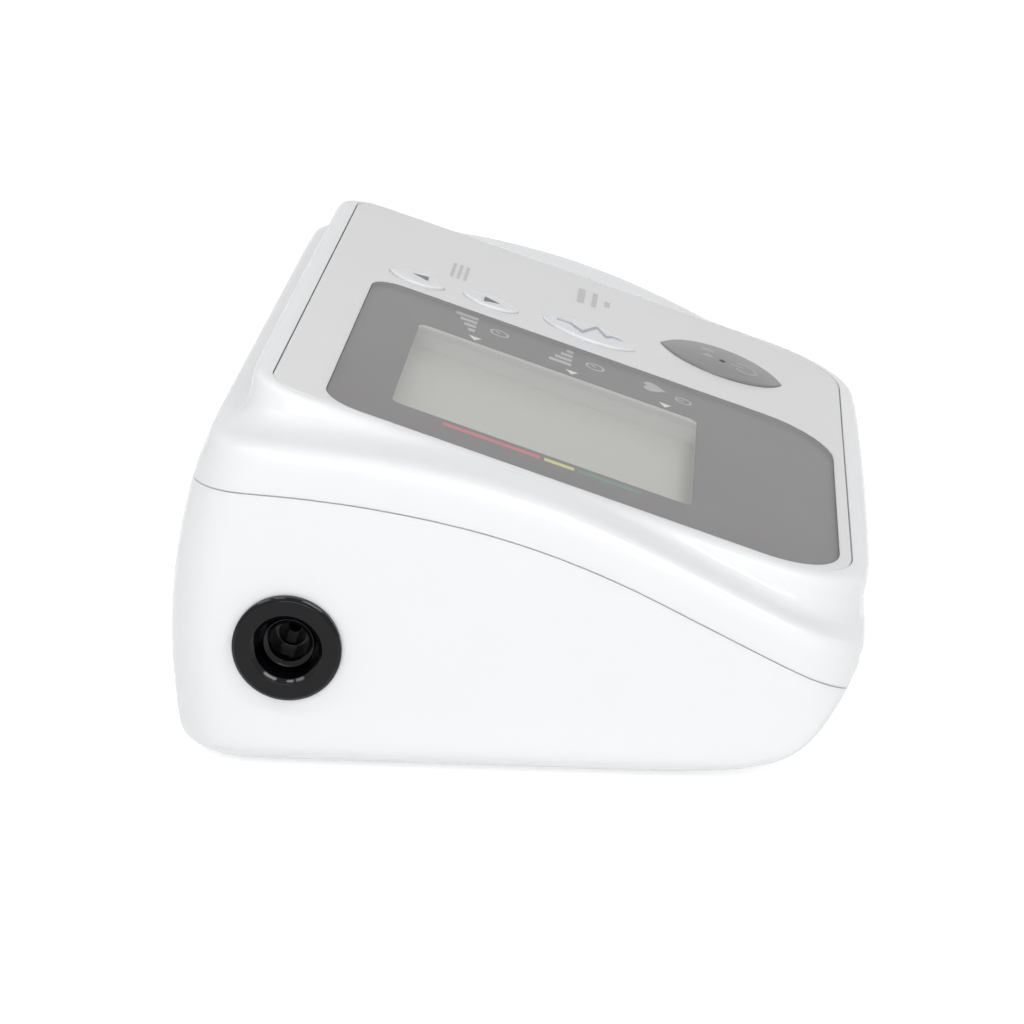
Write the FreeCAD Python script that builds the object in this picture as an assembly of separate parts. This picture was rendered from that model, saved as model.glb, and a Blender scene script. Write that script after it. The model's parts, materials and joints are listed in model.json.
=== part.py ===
import FreeCAD, Part
import math
import os

# Main unit of an upper-arm blood pressure monitor: a white two-part case with a sloping
# control panel, a display window, four push buttons, an air socket for the cuff hose on the
# left side, a power jack on the right side, and the pump, valve, board and cells inside.
#
# Millimetres. X runs to the unit's right, Y to its back, Z up. X = 0 is the mid-plane.
# Inside this script the underside of the case is at Z = 0, and every piece is lifted by the
# height of the feet when it is written out, so that the feet stand on Z = 0.

V = FreeCAD.Vector
X_AXIS = V(1, 0, 0)
Y_AXIS = V(0, 1, 0)
Z_AXIS = V(0, 0, 1)

# ---------------------------------------------------------------------------------------
# Driving dimensions
# ---------------------------------------------------------------------------------------

# Case body
CASE_HALF_W = 70.0        # side walls, which are flat
BACK_Y = 52.5             # back wall where it stands out furthest
BACK_Z = 17.0             # height of that place
BACK_R = 87.0             # radius of the back wall's gentle curve, seen from the side
FRONT_Y = -52.4           # front wall above its under-sweep
BACK_CORNER_R = 10.5      # vertical corners of the body
FRONT_CORNER_R = 12.0
SIDE_EDGE_R = 4.2         # bottom edge along the sides
BACK_EDGE_R = 4.6         # bottom edge along the back
FRONT_SWEEP_H = 22.0      # under-sweep below the front wall: its height
FRONT_SWEEP_RUN = 25.8    # and how far back it runs
WALL_LEAST = 1.5          # least height of the walls between the shoulder and the sweep
FRONT_BOW = 0.4           # how far the front wall bows forward in the middle
WALL = 2.4                # side and bottom walls
LIP_T = 1.1               # inner lip that the upper case fits over
LIP_H = 1.8
LIP_ROOM = 0.15           # free height above the lip
FIT_GAP = 0.1             # clearance between case parts that locate each other
SEAM_GAP = 0.2            # open line between the two case halves

# Shoulder: the line where the side walls turn in towards the panel mount
SHOULDER_Z = 50.9         # its height along the back
SHOULDER_BENDS = ((45.0, 0.0), (7.0, 0.235), (-22.0, 0.51))   # (Y, slope), parabolas between
SHOULDER_SET_IN = 0.6     # how far in from the back wall its crest is
SHOULDER_ROUND = 2.2      # how far the rounding takes the shoulder down
SEAM_DROP = 7.6           # parting line below the shoulder

# Control panel plane. Places on the panel are (x, s) in its own plane, where s runs up the
# slope from Y = 0, and n is the height above its face.
PANEL_PITCH = math.atan(0.3403)
PANEL_COS = math.cos(PANEL_PITCH)
PANEL_SIN = math.sin(PANEL_PITCH)
PANEL_Z = 44.48           # height of the panel plane at Y = 0

# Front panel plate
PLATE_HALF_W = 58.3
PLATE_FRONT_S = -53.3
PLATE_BACK_S = 38.9
PLATE_FRONT_R = 13.0
PLATE_BACK_R = 5.0
PLATE_T = 1.8
PLATE_EDGE_R = 0.3
PLATE_GAP = 0.15          # open line round the plate
PLATE_LEDGE = 2.0         # width of the upper case's ledge under it

# Raised mount round the plate
RIM_W = 2.0               # its rim beside the plate, half way along
RIM_BACK_W = 3.47
RIM_FRONT_W = 2.74
MOUNT_HALF_W = PLATE_HALF_W + RIM_W
MOUNT_BACK_Y = PLATE_BACK_S * PANEL_COS + RIM_BACK_W
MOUNT_FRONT_Y = PLATE_FRONT_S * PANEL_COS - RIM_FRONT_W
MOUNT_TAPER = 0.016       # how much wider it gets for each millimetre forward, each side
MOUNT_BACK_R = 8.0
MOUNT_FRONT_R = 15.5
MOUNT_BOW = 0.8           # how far its front edge bows forward
RIM_ROUND = 0.9
FRONT_WAIST = 0.9         # depth of the soft groove between the rim and the shoulder in front
TOP_WALL = 3.6            # thickness under the panel plane at the mount's rim

# Display window: a clear cover over a printed mask, in a recess of the plate
WINDOW_SET_IN = (0.8, 2.0)   # its left and front edges, from the plate's
WINDOW_RIGHT_X = 13.6     # its right edge, from the mid-plane
WINDOW_L = 82.1
WINDOW_X = (WINDOW_SET_IN[0] - PLATE_HALF_W, WINDOW_RIGHT_X)
WINDOW_S = (PLATE_FRONT_S + WINDOW_SET_IN[1], PLATE_FRONT_S + WINDOW_SET_IN[1] + WINDOW_L)
WINDOW_FRONT_R = 12.2
WINDOW_BACK_R = 5.5
WINDOW_EDGE_R = 0.15
WINDOW_GAP = 0.08
WINDOW_RECESS = 0.9
WINDOW_LOW = 0.05         # its face is this far below the plate's
MASK_T = 0.15

# Display: glass in a holder whose walls show through the opening in the mask
VIEW_SET_IN = (9.9, 23.8) # the opening's left and front edges, from the window's
VIEW_W = 44.2
VIEW_L = 48.5
VIEW_X = (WINDOW_X[0] + VIEW_SET_IN[0], WINDOW_X[0] + VIEW_SET_IN[0] + VIEW_W)
VIEW_S = (WINDOW_S[0] + VIEW_SET_IN[1], WINDOW_S[0] + VIEW_SET_IN[1] + VIEW_L)
VIEW_R = 1.5
WELL_GROW = 0.8           # the holder's well is wider than the opening by this, each side
GLASS_GROW = 2.4
GLASS_N = -4.4
GLASS_T = 2.2
GLASS_GAP = 0.02          # between the glass and the holder's shelf above it
HOLDER_WALL = 2.4
HOLDER_TOP_N = -1.9
HOLDER_BACK_N = -7.0      # its back wall stops here, above the pump
STRIP_W = 2.0             # rubber connector strips between the glass and the board
STRIP_SET_OUT = 0.9       # the front strip, from the opening's front edge
STRIP_SET_IN = 11.0       # the back strip, from the opening's back edge

# Main board, parallel to the panel
BOARD_N = -9.5
BOARD_T = 1.6
BOARD_IN = (6.3, 8.3)     # its left and right edges, in from the plate's
BOARD_X = (BOARD_IN[0] - PLATE_HALF_W, PLATE_HALF_W - BOARD_IN[1])
BOARD_FRONT_IN = 5.3      # its front edge, in from the plate's
BOARD_BACK_IN = 7.0       # its back edge, in front of the opening's
BOARD_S = (PLATE_FRONT_S + BOARD_FRONT_IN, VIEW_S[1] - BOARD_BACK_IN)
BOARD_CORNER_R = (2.0, 0.5)     # front and back corners
WING_GAP = 0.4
WING_X = WINDOW_RIGHT_X + WING_GAP   # right of this it reaches further back, under the memory buttons
WING_IN = 8.9             # the wing's back edge, in from the plate's
WING_S = PLATE_BACK_S - WING_IN
WING_OVERLAP = 2.0
POST_IN = 5.0             # the posts that carry the board, from its edges
BOARD_POSTS = (
    (BOARD_X[0] + POST_IN, BOARD_S[0] + POST_IN),
    (WINDOW_RIGHT_X - POST_IN, BOARD_S[0] + POST_IN),
    (BOARD_X[1] - POST_IN, BOARD_S[0] + POST_IN),
    (BOARD_X[1] - POST_IN, WING_S - POST_IN),
    (WINDOW_RIGHT_X - POST_IN, BOARD_S[1] - POST_IN),
)
POST_R = 2.6
POST_PILOT_R = 1.0
POST_PILOT_DEPTH = 6.0    # above the board's face
BOARD_HOLE_GAP = 0.3
BOARD_HOLE_R = POST_PILOT_R + BOARD_HOLE_GAP
BOARD_SCREW_R = 0.95
BOARD_SCREW_BITE = 5.0    # how far each screw reaches into its post
BOARD_SCREW_HEAD = (2.2, 1.5)   # radius, height
SLOT_W = 0.6
SLOT_DEPTH = 0.6

# Parts under the board: centre, right of its left edge and up from its front edge, size
# across, size along, height
CHIPS = (
    (34.0, 26.0, 14.0, 14.0, 1.6),
    (64.0, 28.0, 9.0, 7.0, 1.4),
    (18.0, 12.0, 8.0, 5.0, 1.2),
    (82.0, 56.0, 6.5, 5.0, 2.2),
    (54.0, 50.0, 5.0, 5.0, 1.6),
)
BUZZER_IN = (18.0, 34.0)  # left of the board's right edge and up from its front edge
BUZZER_R = 6.0
BUZZER_H = 4.0
BUZZER_HOLE_R = 1.0
BUZZER_HOLE_DEPTH = 1.5

# Buttons: x from the window's right edge, s, length up the slope, width, height of the
# crown, radius of the crown
BUTTONS = {
    "start": (20.4, -31.0, 22.5, 16.0, 0.9, 80.0),
    "mode": (9.9, -7.0, 17.0, 10.0, 0.8, 64.0),
    "memory_down": (7.9, 10.8, 10.0, 7.0, 0.7, 34.0),
    "memory_up": (6.4, 24.0, 10.0, 7.0, 0.7, 34.0),
}
BUTTON_TIP_R = 0.8        # rounding of the two tips of each button
BUTTON_EDGE_R = 0.25
BUTTON_GAP = 0.15
BUTTON_FLANGE = 0.9       # how far the flange that holds it in reaches out
BUTTON_FLANGE_T = 0.9
BUTTON_FLANGE_DROP = 0.3  # below the plate
BUTTON_STEM_R = 1.6
SWITCH_SIZE = 6.0
SWITCH_H = 3.5
SWITCH_TOP_N = BOARD_N + SWITCH_H
PLUNGER_R = 1.75
PLUNGER_RISE = 0.8        # how far each switch's plunger stands out of it
PLUNGER_SINK = 0.9
PLUNGER_ROOM = 1.0        # free depth under the plunger

# Battery bay: four AA cells across the case, side by side
CELL_R = 7.1
CELL_LENGTH = 49.5        # without the nub of its positive end
CELL_NUB_R = 2.75
CELL_NUB_H = 1.0
CELL_COUNT = 4
CELL_GAP = 0.4            # between cells
CELL_ROOM = 0.5           # between the cells and the bay
CELL_FIRST_Y = -3.4
CELL_PITCH = 2 * CELL_R + CELL_GAP
CONTACT_T = 0.4
CONTACT_SIZE = 10.0
SPRING_R = 3.6
SPRING_TIP_R = 2.2
SPRING_WIRE = 0.7
SPRING_LENGTH = 6.3       # with the cell in place
COVER_T = 2.0
CELL_LIFT = 1.5           # between the cover and the cells
CELL_Z = COVER_T + CELL_LIFT + CELL_R
BAY_HALF_W = (CELL_LENGTH + CELL_NUB_H + 3 * CONTACT_T + SPRING_LENGTH) / 2
CELL_LAST_Y = CELL_FIRST_Y + (CELL_COUNT - 1) * CELL_PITCH
BAY_Y = (CELL_FIRST_Y - CELL_R - CELL_ROOM, CELL_LAST_Y + CELL_R + CELL_ROOM)
BAY_Z = (WALL, CELL_Z + CELL_R + CELL_ROOM)
BAY_WALL = 1.6
BAY_ROOF_Z = BAY_Z[1] + BAY_WALL
BAY_BACK_WALL = 1.2
BAY_BACK_Z = 5.2          # the back wall starts here, above the cover's upturned edge
BAY_SHELF_W = 4.5         # shelf round the bay, which rests on the floor of the case

# Battery cover: slides out to the back, held by a tongue along each side
COVER_LAP = 2.0           # how far it reaches past the bay, each side
COVER_FRONT_LAP = 3.0
COVER_HALF_W = BAY_HALF_W + COVER_LAP
COVER_FRONT_Y = BAY_Y[0] - COVER_FRONT_LAP
COVER_TOP_Z = 9.0         # height of its upturned back edge
COVER_GAP = 0.15
TONGUE_REACH = 1.2
TONGUE_Z = (0.9, 1.9)
TONGUE_IN = (1.0, 4.0)    # its front and back ends, in from the bay's
TONGUE_Y = (BAY_Y[0] + TONGUE_IN[0], BAY_Y[1] - TONGUE_IN[1])
GRIP_COUNT = 6
GRIP_PITCH = 2.4
GRIP_FIRST_Y = 27.0
GRIP_HALF_W = 11.0
GRIP_R = 0.9
GRIP_SINK = 0.5

# Feet, in shallow recesses of the underside
FOOT_H = 1.0
FOOT_R = 5.0
FOOT_EDGE_R = 0.3
FOOT_SINK = 0.6
FOOT_IN = (26.0, 18.0)    # front and back feet, in from the side walls
FOOT_Y = (FRONT_Y + 30.4, BACK_Y - 16.5)
FEET = [(side * (CASE_HALF_W - into), y) for into, y in zip(FOOT_IN, FOOT_Y) for side in (-1, 1)]

# Screws that join the case halves, with the split between lower and upper bosses
BOSS_R = 4.3
SCREW_BACK_OUT = 9.0      # the back screws, out from the battery bay
SCREW_FRONT_OUT = 6.0     # the front screws, out from the board's left edge
SCREW_BACK_X = BAY_HALF_W + SCREW_BACK_OUT
SCREW_FRONT_X = SCREW_FRONT_OUT - BOARD_X[0]
SCREW_IN = (12.5, 28.4)   # the back and the front screws, in from the back and front walls
SCREW_Y = (BACK_Y - SCREW_IN[0], FRONT_Y + SCREW_IN[1])
CASE_SCREWS = [
    (side * x, y) for x, y in zip((SCREW_BACK_X, SCREW_FRONT_X), SCREW_Y) for side in (-1, 1)
]
BOSS_SPLIT_Z = 20.0
SCREW_SEAT_Z = 9.0
SCREW_HEAD_R = 2.75
SCREW_HEAD_H = 2.2
SCREW_R = 1.45
SCREW_HOLE_GAP = 0.15
SCREW_LENGTH = 17.0
SCREW_PILOT_R = 1.5
SCREW_WELL_R = 3.1
CROSS_REACH = 1.6         # arms of the cross in each head: half length, half width, depth
CROSS_HALF_W = 0.35
CROSS_DEPTH = 1.2

# Air socket in the left wall: a flange outside, a deep counterbore, a nozzle inside it
SOCKET_Y = 33.2
SOCKET_Z = 19.5
SOCKET_PROUD = 1.3
SOCKET_FLANGE_R = 8.2
SOCKET_FLANGE_ROUND = 0.7
SOCKET_NECK_R = 6.35
SOCKET_HOLE_GAP = 0.15
SOCKET_HOLE_R = SOCKET_NECK_R + SOCKET_HOLE_GAP
SOCKET_WELL_R = 4.8
SOCKET_WELL_ROUND = 0.4
SOCKET_WELL_DEPTH = 8.0   # floor of the counterbore, in from the wall's outside
SOCKET_END_DEPTH = 10.0   # inner end of its body
NOZZLE_R = 3.9
NOZZLE_ROUND = 0.3
NOZZLE_DEPTH = 1.5        # its tip, in from the wall's outside
NOZZLE_BORE_R = 2.95
NOZZLE_BORE_DEPTH = 4.5
NOZZLE_INNER_R = 2.0
BARB_R = 1.95             # the wider air line from the socket
BARB_L = 5.0
BARB_BORE_R = 1.0
NUT_FLATS = 15.0
NUT_T = 3.5

# Pump: a small motor with a crank that works a diaphragm head. Everything lies along X,
# back from the motor's right end, which is beside the board's wing.
MOTOR_R = 12.0
MOTOR_WALL = 1.0
MOTOR_L = 24.5
HEAD_R = 10.2
HEAD_WALL = 1.6
HEAD_L = 14.0
MOTOR_SET_IN = 1.6        # its right end, left of the window's right edge
MOTOR_X = (WINDOW_RIGHT_X - MOTOR_SET_IN - MOTOR_L, WINDOW_RIGHT_X - MOTOR_SET_IN)
HEAD_X = (MOTOR_X[0] - HEAD_L, MOTOR_X[0])
SLEEVE_T = 1.25           # rubber rings that hold the pump in its cradles
HEAD_SLEEVE_T = 2.0
SLEEVE_R = MOTOR_R + SLEEVE_T
HEAD_SLEEVE_R = HEAD_R + HEAD_SLEEVE_T
SLEEVE_L = 8.0
HEAD_SLEEVE_L = 6.0
SLEEVE_IN = 1.0           # each ring's outer end, in from the pump's end
SLEEVE_X = (MOTOR_X[1] - SLEEVE_IN - SLEEVE_L, MOTOR_X[1] - SLEEVE_IN)
HEAD_SLEEVE_X = (HEAD_X[0] + SLEEVE_IN, HEAD_X[0] + SLEEVE_IN + HEAD_SLEEVE_L)
SLEEVE_SEAT_GAP = 0.15
PUMP_Y = 31.0
PUMP_Z = BAY_ROOF_Z + SLEEVE_R + SLEEVE_SEAT_GAP
END_CAP_T = 1.6
BLADE_OFFSET = 6.0        # the motor's two solder blades
BLADE_HALF_W = 1.2
BLADE_T = 0.5
BLADE_PROUD = 1.5
MAGNET_T = 1.75
MAGNET_FIT = 0.05
MAGNET_OUT_R = MOTOR_R - MOTOR_WALL - MAGNET_FIT
MAGNET_R = (MAGNET_OUT_R - MAGNET_T, MAGNET_OUT_R)
MAGNET_SPLIT = 5.0
ROTOR_R = 8.6
ROTOR_IN = (5.0, 6.0)     # its left and right ends, in from the motor's
ROTOR_X = (MOTOR_X[0] + ROTOR_IN[0], MOTOR_X[1] - ROTOR_IN[1])
ROTOR_SLOT_W = 1.6
ROTOR_SLOT_R = 4.0        # the slots reach in to here
SHAFT_R = 1.0
SHAFT_FIT = 0.05
SHAFT_PROUD = 0.8
CRANK_R = 3.2
CRANK_OFFSET = 1.4
CRANK_IN = 6.5            # in from the head's outer end
CRANK_L = 3.5
CRANK_X = (HEAD_X[0] + CRANK_IN, HEAD_X[0] + CRANK_IN + CRANK_L)
SHAFT_X = (CRANK_X[0], MOTOR_X[1] + SHAFT_PROUD)
DIAPHRAGM_IN = 2.0        # in from the head's outer end
DIAPHRAGM_T = 0.8
DIAPHRAGM_X = (HEAD_X[0] + DIAPHRAGM_IN, HEAD_X[0] + DIAPHRAGM_IN + DIAPHRAGM_T)
CUP_R = 2.6               # the diaphragm's three cups
CUP_ORBIT_R = 4.6
CUP_H = 2.0
PUMP_NOZZLE_RISE = 0.8    # above the pump's middle
PUMP_NOZZLE_Z = PUMP_Z + PUMP_NOZZLE_RISE
PUMP_NOZZLE_L = 4.6
PUMP_BEND_R = 6.0
CRADLE_RISE = 5.2         # the cradles' ribs, above the bay's roof
CRADLE_WALL_Z = BAY_ROOF_Z + CRADLE_RISE
CRADLE_FIT = 0.1
CRADLE_LAP = 1.6          # how far the ribs reach past the sleeve, each side

# Air lines: the small ones lie in one plane, beside the pump's head
PORT_R = 1.25             # small ports and the tubes on them
PORT_BORE_R = 0.7
PORT_L = 3.6
TUBE_R = 2.1
BARB_TUBE_R = 3.0
TUBE_FIT = 0.05
TUBE_END_GAP = 0.3
PUMP_RUN = 13.0           # from that plane to the head
TUBE_X = HEAD_X[0] - PUMP_RUN
MANIFOLD_HALF_W = 4.0
MANIFOLD_Y_REACH = (-9.2, 2.3)   # its ends and its bottom and top, from the socket's axis
MANIFOLD_Z_REACH = (-4.0, 6.0)
MANIFOLD_X = (TUBE_X - MANIFOLD_HALF_W, TUBE_X + MANIFOLD_HALF_W)
MANIFOLD_Y = (SOCKET_Y + MANIFOLD_Y_REACH[0], SOCKET_Y + MANIFOLD_Y_REACH[1])
MANIFOLD_Z = (SOCKET_Z + MANIFOLD_Z_REACH[0], SOCKET_Z + MANIFOLD_Z_REACH[1])
MANIFOLD_WALL = 1.6
PUMP_PORT_BACK = 0.2      # the pump's line, in front of the socket's axis
PUMP_PORT_Y = SOCKET_Y - PUMP_PORT_BACK
SENSOR_PORT_IN = 3.0      # the sensor's line, back from the manifold's front end
SENSOR_PORT_Y = MANIFOLD_Y[0] + SENSOR_PORT_IN
STAND_R = 2.4             # posts under the manifold and the valve
STAND_IN = 3.0            # how far in from their ends these stand

# Pressure sensor, under the board
SENSOR_HALF_W = 5.0
SENSOR_BACK_IN = 1.0      # its back end, in from the board's back edge
SENSOR_L = 10.0
SENSOR_S = (BOARD_S[1] - SENSOR_BACK_IN - SENSOR_L, BOARD_S[1] - SENSOR_BACK_IN)
SENSOR_H = 4.0
SENSOR_PORT_DROP = 2.3    # its port, below the board
SENSOR_PORT_N = BOARD_N - BOARD_T - SENSOR_PORT_DROP
SENSOR_PORT_L = 3.4
SENSOR_BORE_DEPTH = 4.0
SENSOR_BEND_R = 5.0

# Air release valve: a coil round a plunger that slides along Y
VALVE_HALF_W = 5.0
VALVE_HALF_H = 6.0
VALVE_L = 12.0
VALVE_GAP = 12.0          # between it and the manifold
VALVE_X = (TUBE_X - VALVE_HALF_W, TUBE_X + VALVE_HALF_W)
VALVE_Y = (MANIFOLD_Y[0] - VALVE_GAP - VALVE_L, MANIFOLD_Y[0] - VALVE_GAP)
VALVE_Z = (SOCKET_Z - VALVE_HALF_H, SOCKET_Z + VALVE_HALF_H)
VALVE_PLATE = 1.4
COIL_R = 4.5
COIL_BORE_R = 1.7
VALVE_PLUNGER_R = 1.6
VALVE_PLUNGER_OUT = 2.0   # how far it stands out in front of the valve
VALVE_PLUNGER_IN = 1.8    # its back end, in from the valve's
VALVE_PLUNGER_Y = (VALVE_Y[0] - VALVE_PLUNGER_OUT, VALVE_Y[1] - VALVE_PLUNGER_IN)
VALVE_KNOB_H = 0.8
VALVE_KNOB_REACH = 1.0
VALVE_KNOB_R = VALVE_PLUNGER_R + VALVE_KNOB_REACH

# Power jack in the right wall
JACK_Y = 33.0
JACK_Z = 12.5
JACK_L = 14.0             # its body's inner end, in from the wall's outside
JACK_SET_IN = 0.2         # its collar's face, in from the wall's outside
JACK_HALF_W = 4.5
JACK_Z_REACH = (-4.5, 5.5)
JACK_COLLAR_R = 4.6
JACK_HOLE_GAP = 0.2
JACK_HOLE_R = JACK_COLLAR_R + JACK_HOLE_GAP
JACK_BORE_R = 2.8
JACK_DEPTH = 9.0
JACK_PIN_R = 1.0
JACK_PIN_ROUND = 0.3
JACK_PIN_SHORT = 1.0

# Poles of the housing skin's surface
CORNER_POLE_COUNT = 4     # steps of poles round each corner
SIDE_POLE_COUNT = 6       # poles along a side, between two corners
WIDE_POLE_COUNT = 4       # poles along the back or the front, between two corners
CORNER_STEP = math.radians(90.0 / CORNER_POLE_COUNT)
POLE_REACH = 3.0 / (2.0 + math.cos(CORNER_STEP))   # a cubic curve runs inside its poles
CORNER_R_LEAST = 4.0      # how much an inset may take off a corner's radius

# Lengths for cutters that pass right through, and for seats that sink into what they join
THROUGH = 10.0
BITE = 0.5

# ---------------------------------------------------------------------------------------
# Housing skin: one smooth surface through rings of poles
# ---------------------------------------------------------------------------------------



def panel_z(y):
    return PANEL_Z + y * math.tan(PANEL_PITCH)


def shoulder_z(y):
    """Height of the shoulder line: level, then two parabolas, then a straight slope."""
    z = SHOULDER_Z
    for (y0, slope0), (y1, slope1) in zip(SHOULDER_BENDS, SHOULDER_BENDS[1:]):
        run = min(max(y0 - y, 0.0), y0 - y1)
        z -= slope0 * run + (slope1 - slope0) * run ** 2 / (2.0 * (y0 - y1))
    last_y, last_slope = SHOULDER_BENDS[-1]
    return z - last_slope * max(last_y - y, 0.0)


def back_wall(z):
    return BACK_Y - (z - BACK_Z) ** 2 / (2.0 * BACK_R)


def plan_poles(half_w, back, front, back_r, front_r):
    """Poles of a rounded rectangle, anticlockwise, each as (x, y, angle of its normal)."""
    centres = (
        (half_w - back_r, back - back_r, back_r, WIDE_POLE_COUNT),
        (back_r - half_w, back - back_r, back_r, SIDE_POLE_COUNT),
        (front_r - half_w, front + front_r, front_r, WIDE_POLE_COUNT),
        (half_w - front_r, front + front_r, front_r, SIDE_POLE_COUNT),
    )
    corners = []
    for quarter, (cx, cy, r, _) in enumerate(centres):
        corner = []
        for step in range(CORNER_POLE_COUNT + 1):
            inside = 0 < step < CORNER_POLE_COUNT
            reach = r * (POLE_REACH if inside else 1.0)
            angle = math.radians(90.0 * quarter) + step * CORNER_STEP
            corner.append((cx + reach * math.cos(angle), cy + reach * math.sin(angle), angle))
        corners.append(corner)
    poles = []
    for quarter, corner in enumerate(corners):
        poles += corner
        x0, y0, angle = corner[-1]
        x1, y1, _ = corners[(quarter + 1) % 4][0]
        count = centres[quarter][3]
        for i in range(1, count + 1):
            f = i / (count + 1.0)
            poles.append((x0 + (x1 - x0) * f, y0 + (y1 - y0) * f, angle))
    return poles


def bowed(poles, half_w, bow):
    """The same poles with the front edge bowed forward."""
    result = []
    for x, y, angle in poles:
        forward = max(0.0, -math.sin(angle)) ** 2
        result.append((x, y - bow * forward * max(0.0, 1 - (x / half_w) ** 2), angle))
    return result


def mount_poles(inset):
    """The raised mount's outline, moved in by inset."""
    poles = plan_poles(
        MOUNT_HALF_W - inset, MOUNT_BACK_Y - inset, MOUNT_FRONT_Y + inset,
        MOUNT_BACK_R - min(inset, CORNER_R_LEAST), MOUNT_FRONT_R - min(inset, CORNER_R_LEAST),
    )
    widened = [(x * (1 - MOUNT_TAPER * y / MOUNT_HALF_W), y, angle) for x, y, angle in poles]
    return bowed(widened, MOUNT_HALF_W, MOUNT_BOW)


def body_poles(inset, z_back, side=0.0, back=0.0, front=0.0):
    """The body's outline, moved in by inset all round and by more on each side."""
    poles = plan_poles(
        CASE_HALF_W - inset - side, back_wall(z_back) - inset - back,
        FRONT_Y + inset + front,
        BACK_CORNER_R - min(inset, CORNER_R_LEAST), FRONT_CORNER_R - min(inset, CORNER_R_LEAST),
    )
    return bowed(poles, CASE_HALF_W, FRONT_BOW)


def upper_ring(inset, top, t, share, drop, waist=0.0):
    """Poles part of the way, t, from the mount's outline to the shoulder's.

    share is how much of the height between the two they fall, and drop a further fall.
    waist is how much of the front's groove they take in."""
    ring = []
    body = body_poles(inset, SHOULDER_Z - SHOULDER_ROUND, back=SHOULDER_SET_IN)
    for (px, py, angle), (qx, qy, _) in zip(mount_poles(inset), body):
        high = panel_z(py) - top / PANEL_COS
        low = shoulder_z(qy) - inset
        fall = share(high - low) if callable(share) else share * (high - low)
        groove = waist * FRONT_WAIST * max(0.0, -math.sin(angle))
        ring.append(V(px + (qx - px) * t, py + (qy - py) * t + groove, high - fall - drop))
    return ring


def rim_fall(height):
    """How far the rim's rounding falls where the wall below it has this height."""
    wall = max(height, 0.0)
    return RIM_ROUND * wall / (wall + 1.0)


def edge_height(angle):
    """Height of the bottom edge's rounding where the outline faces this way."""
    end = math.sin(angle) ** 2
    end_h = BACK_EDGE_R if math.sin(angle) > 0 else FRONT_SWEEP_H
    return SIDE_EDGE_R + (end_h - SIDE_EDGE_R) * end


def wall_heights(inset, y, angle):
    """Where the wall starts and ends at a pole: below the shoulder, and above the bottom edge."""
    high = shoulder_z(y) - inset - SHOULDER_ROUND
    return high, min(edge_height(angle), high - WALL_LEAST)


def sweep_turn(inset, angle, z):
    """How far round the bottom edge's quarter ellipse this height is, as an angle."""
    h = edge_height(angle)
    return math.asin(min(max((h - z) / (h - inset), 0.0), 1.0))


def wall_ring(inset, f):
    """Poles down the walls, a share f of the way from the shoulder to the bottom edge.

    The front's under-sweep starts above the shoulder, so its walls already follow it."""
    z_back = (SHOULDER_Z - SHOULDER_ROUND) * (1 - f) + BACK_EDGE_R * f
    ring = []
    for x, y, angle in body_poles(inset, z_back):
        high, low = wall_heights(inset, y, angle)
        z = high * (1 - f) + low * f
        in_by = 1 - math.cos(sweep_turn(inset, angle, z))
        forward = max(0.0, -math.sin(angle))
        ring.append(V(x, y + (FRONT_SWEEP_RUN - inset) * in_by * forward, z))
    return ring


def edge_ring(inset, f):
    """Poles round the bottom edge: f is 0 where it leaves the wall and 1 on the underside."""
    ring = []
    for i, (x, y, angle) in enumerate(body_poles(inset, BACK_EDGE_R)):
        _, low = wall_heights(inset, y, angle)
        start = sweep_turn(inset, angle, low)
        turn = start + (math.pi / 2 - start) * f
        in_by = 1 - math.cos(turn)
        outline = body_poles(
            inset, BACK_EDGE_R,
            (SIDE_EDGE_R - inset) * in_by, (BACK_EDGE_R - inset) * in_by,
            (FRONT_SWEEP_RUN - inset) * in_by,
        )
        h = edge_height(angle)
        ring.append(V(outline[i][0], outline[i][1], h - (h - inset) * math.sin(turn)))
    return ring


def cap_ring(inset, further):
    """Poles on the underside, inside the bottom edge, so that it leaves the floor flat."""
    outline = body_poles(
        inset, BACK_EDGE_R,
        SIDE_EDGE_R - inset + further, BACK_EDGE_R - inset + further,
        FRONT_SWEEP_RUN - inset + further,
    )
    return [V(x, y, inset) for x, y, _ in outline]


def skin_rings(inset, top):
    """Rings of poles from the panel plane down to the underside."""
    level = [
        upper_ring(inset + 2.6, top, 0.0, 0.0, 0.0),
        upper_ring(inset + 1.0, top, 0.0, 0.0, 0.0),
    ]
    for ring in level:
        for pole in ring:
            pole.z = panel_z(pole.y) - top / PANEL_COS
    rim = upper_ring(inset, top, 0.0, rim_fall, 0.0)
    flank = [
        upper_ring(inset, top, 0.02, 0.42, 0.0, 0.6),
        upper_ring(inset, top, 0.12, 0.80, 0.0, 1.0),
        upper_ring(inset, top, 0.38, 0.98, 0.0, 1.0),
        upper_ring(inset, top, 0.72, 1.0, 0.0, 0.5),
        upper_ring(inset, top, 0.93, 1.0, 0.45),
        upper_ring(inset, top, 1.0, 1.0, SHOULDER_ROUND),
    ]
    walls = [wall_ring(inset, f) for f in (0.08, 0.3, 0.53, 0.77, 1.0)]
    edge = [edge_ring(inset, f) for f in (0.25, 0.5, 0.75, 1.0)]
    return level + [rim] + flank + walls + edge + [cap_ring(inset, 3.0)]


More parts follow.
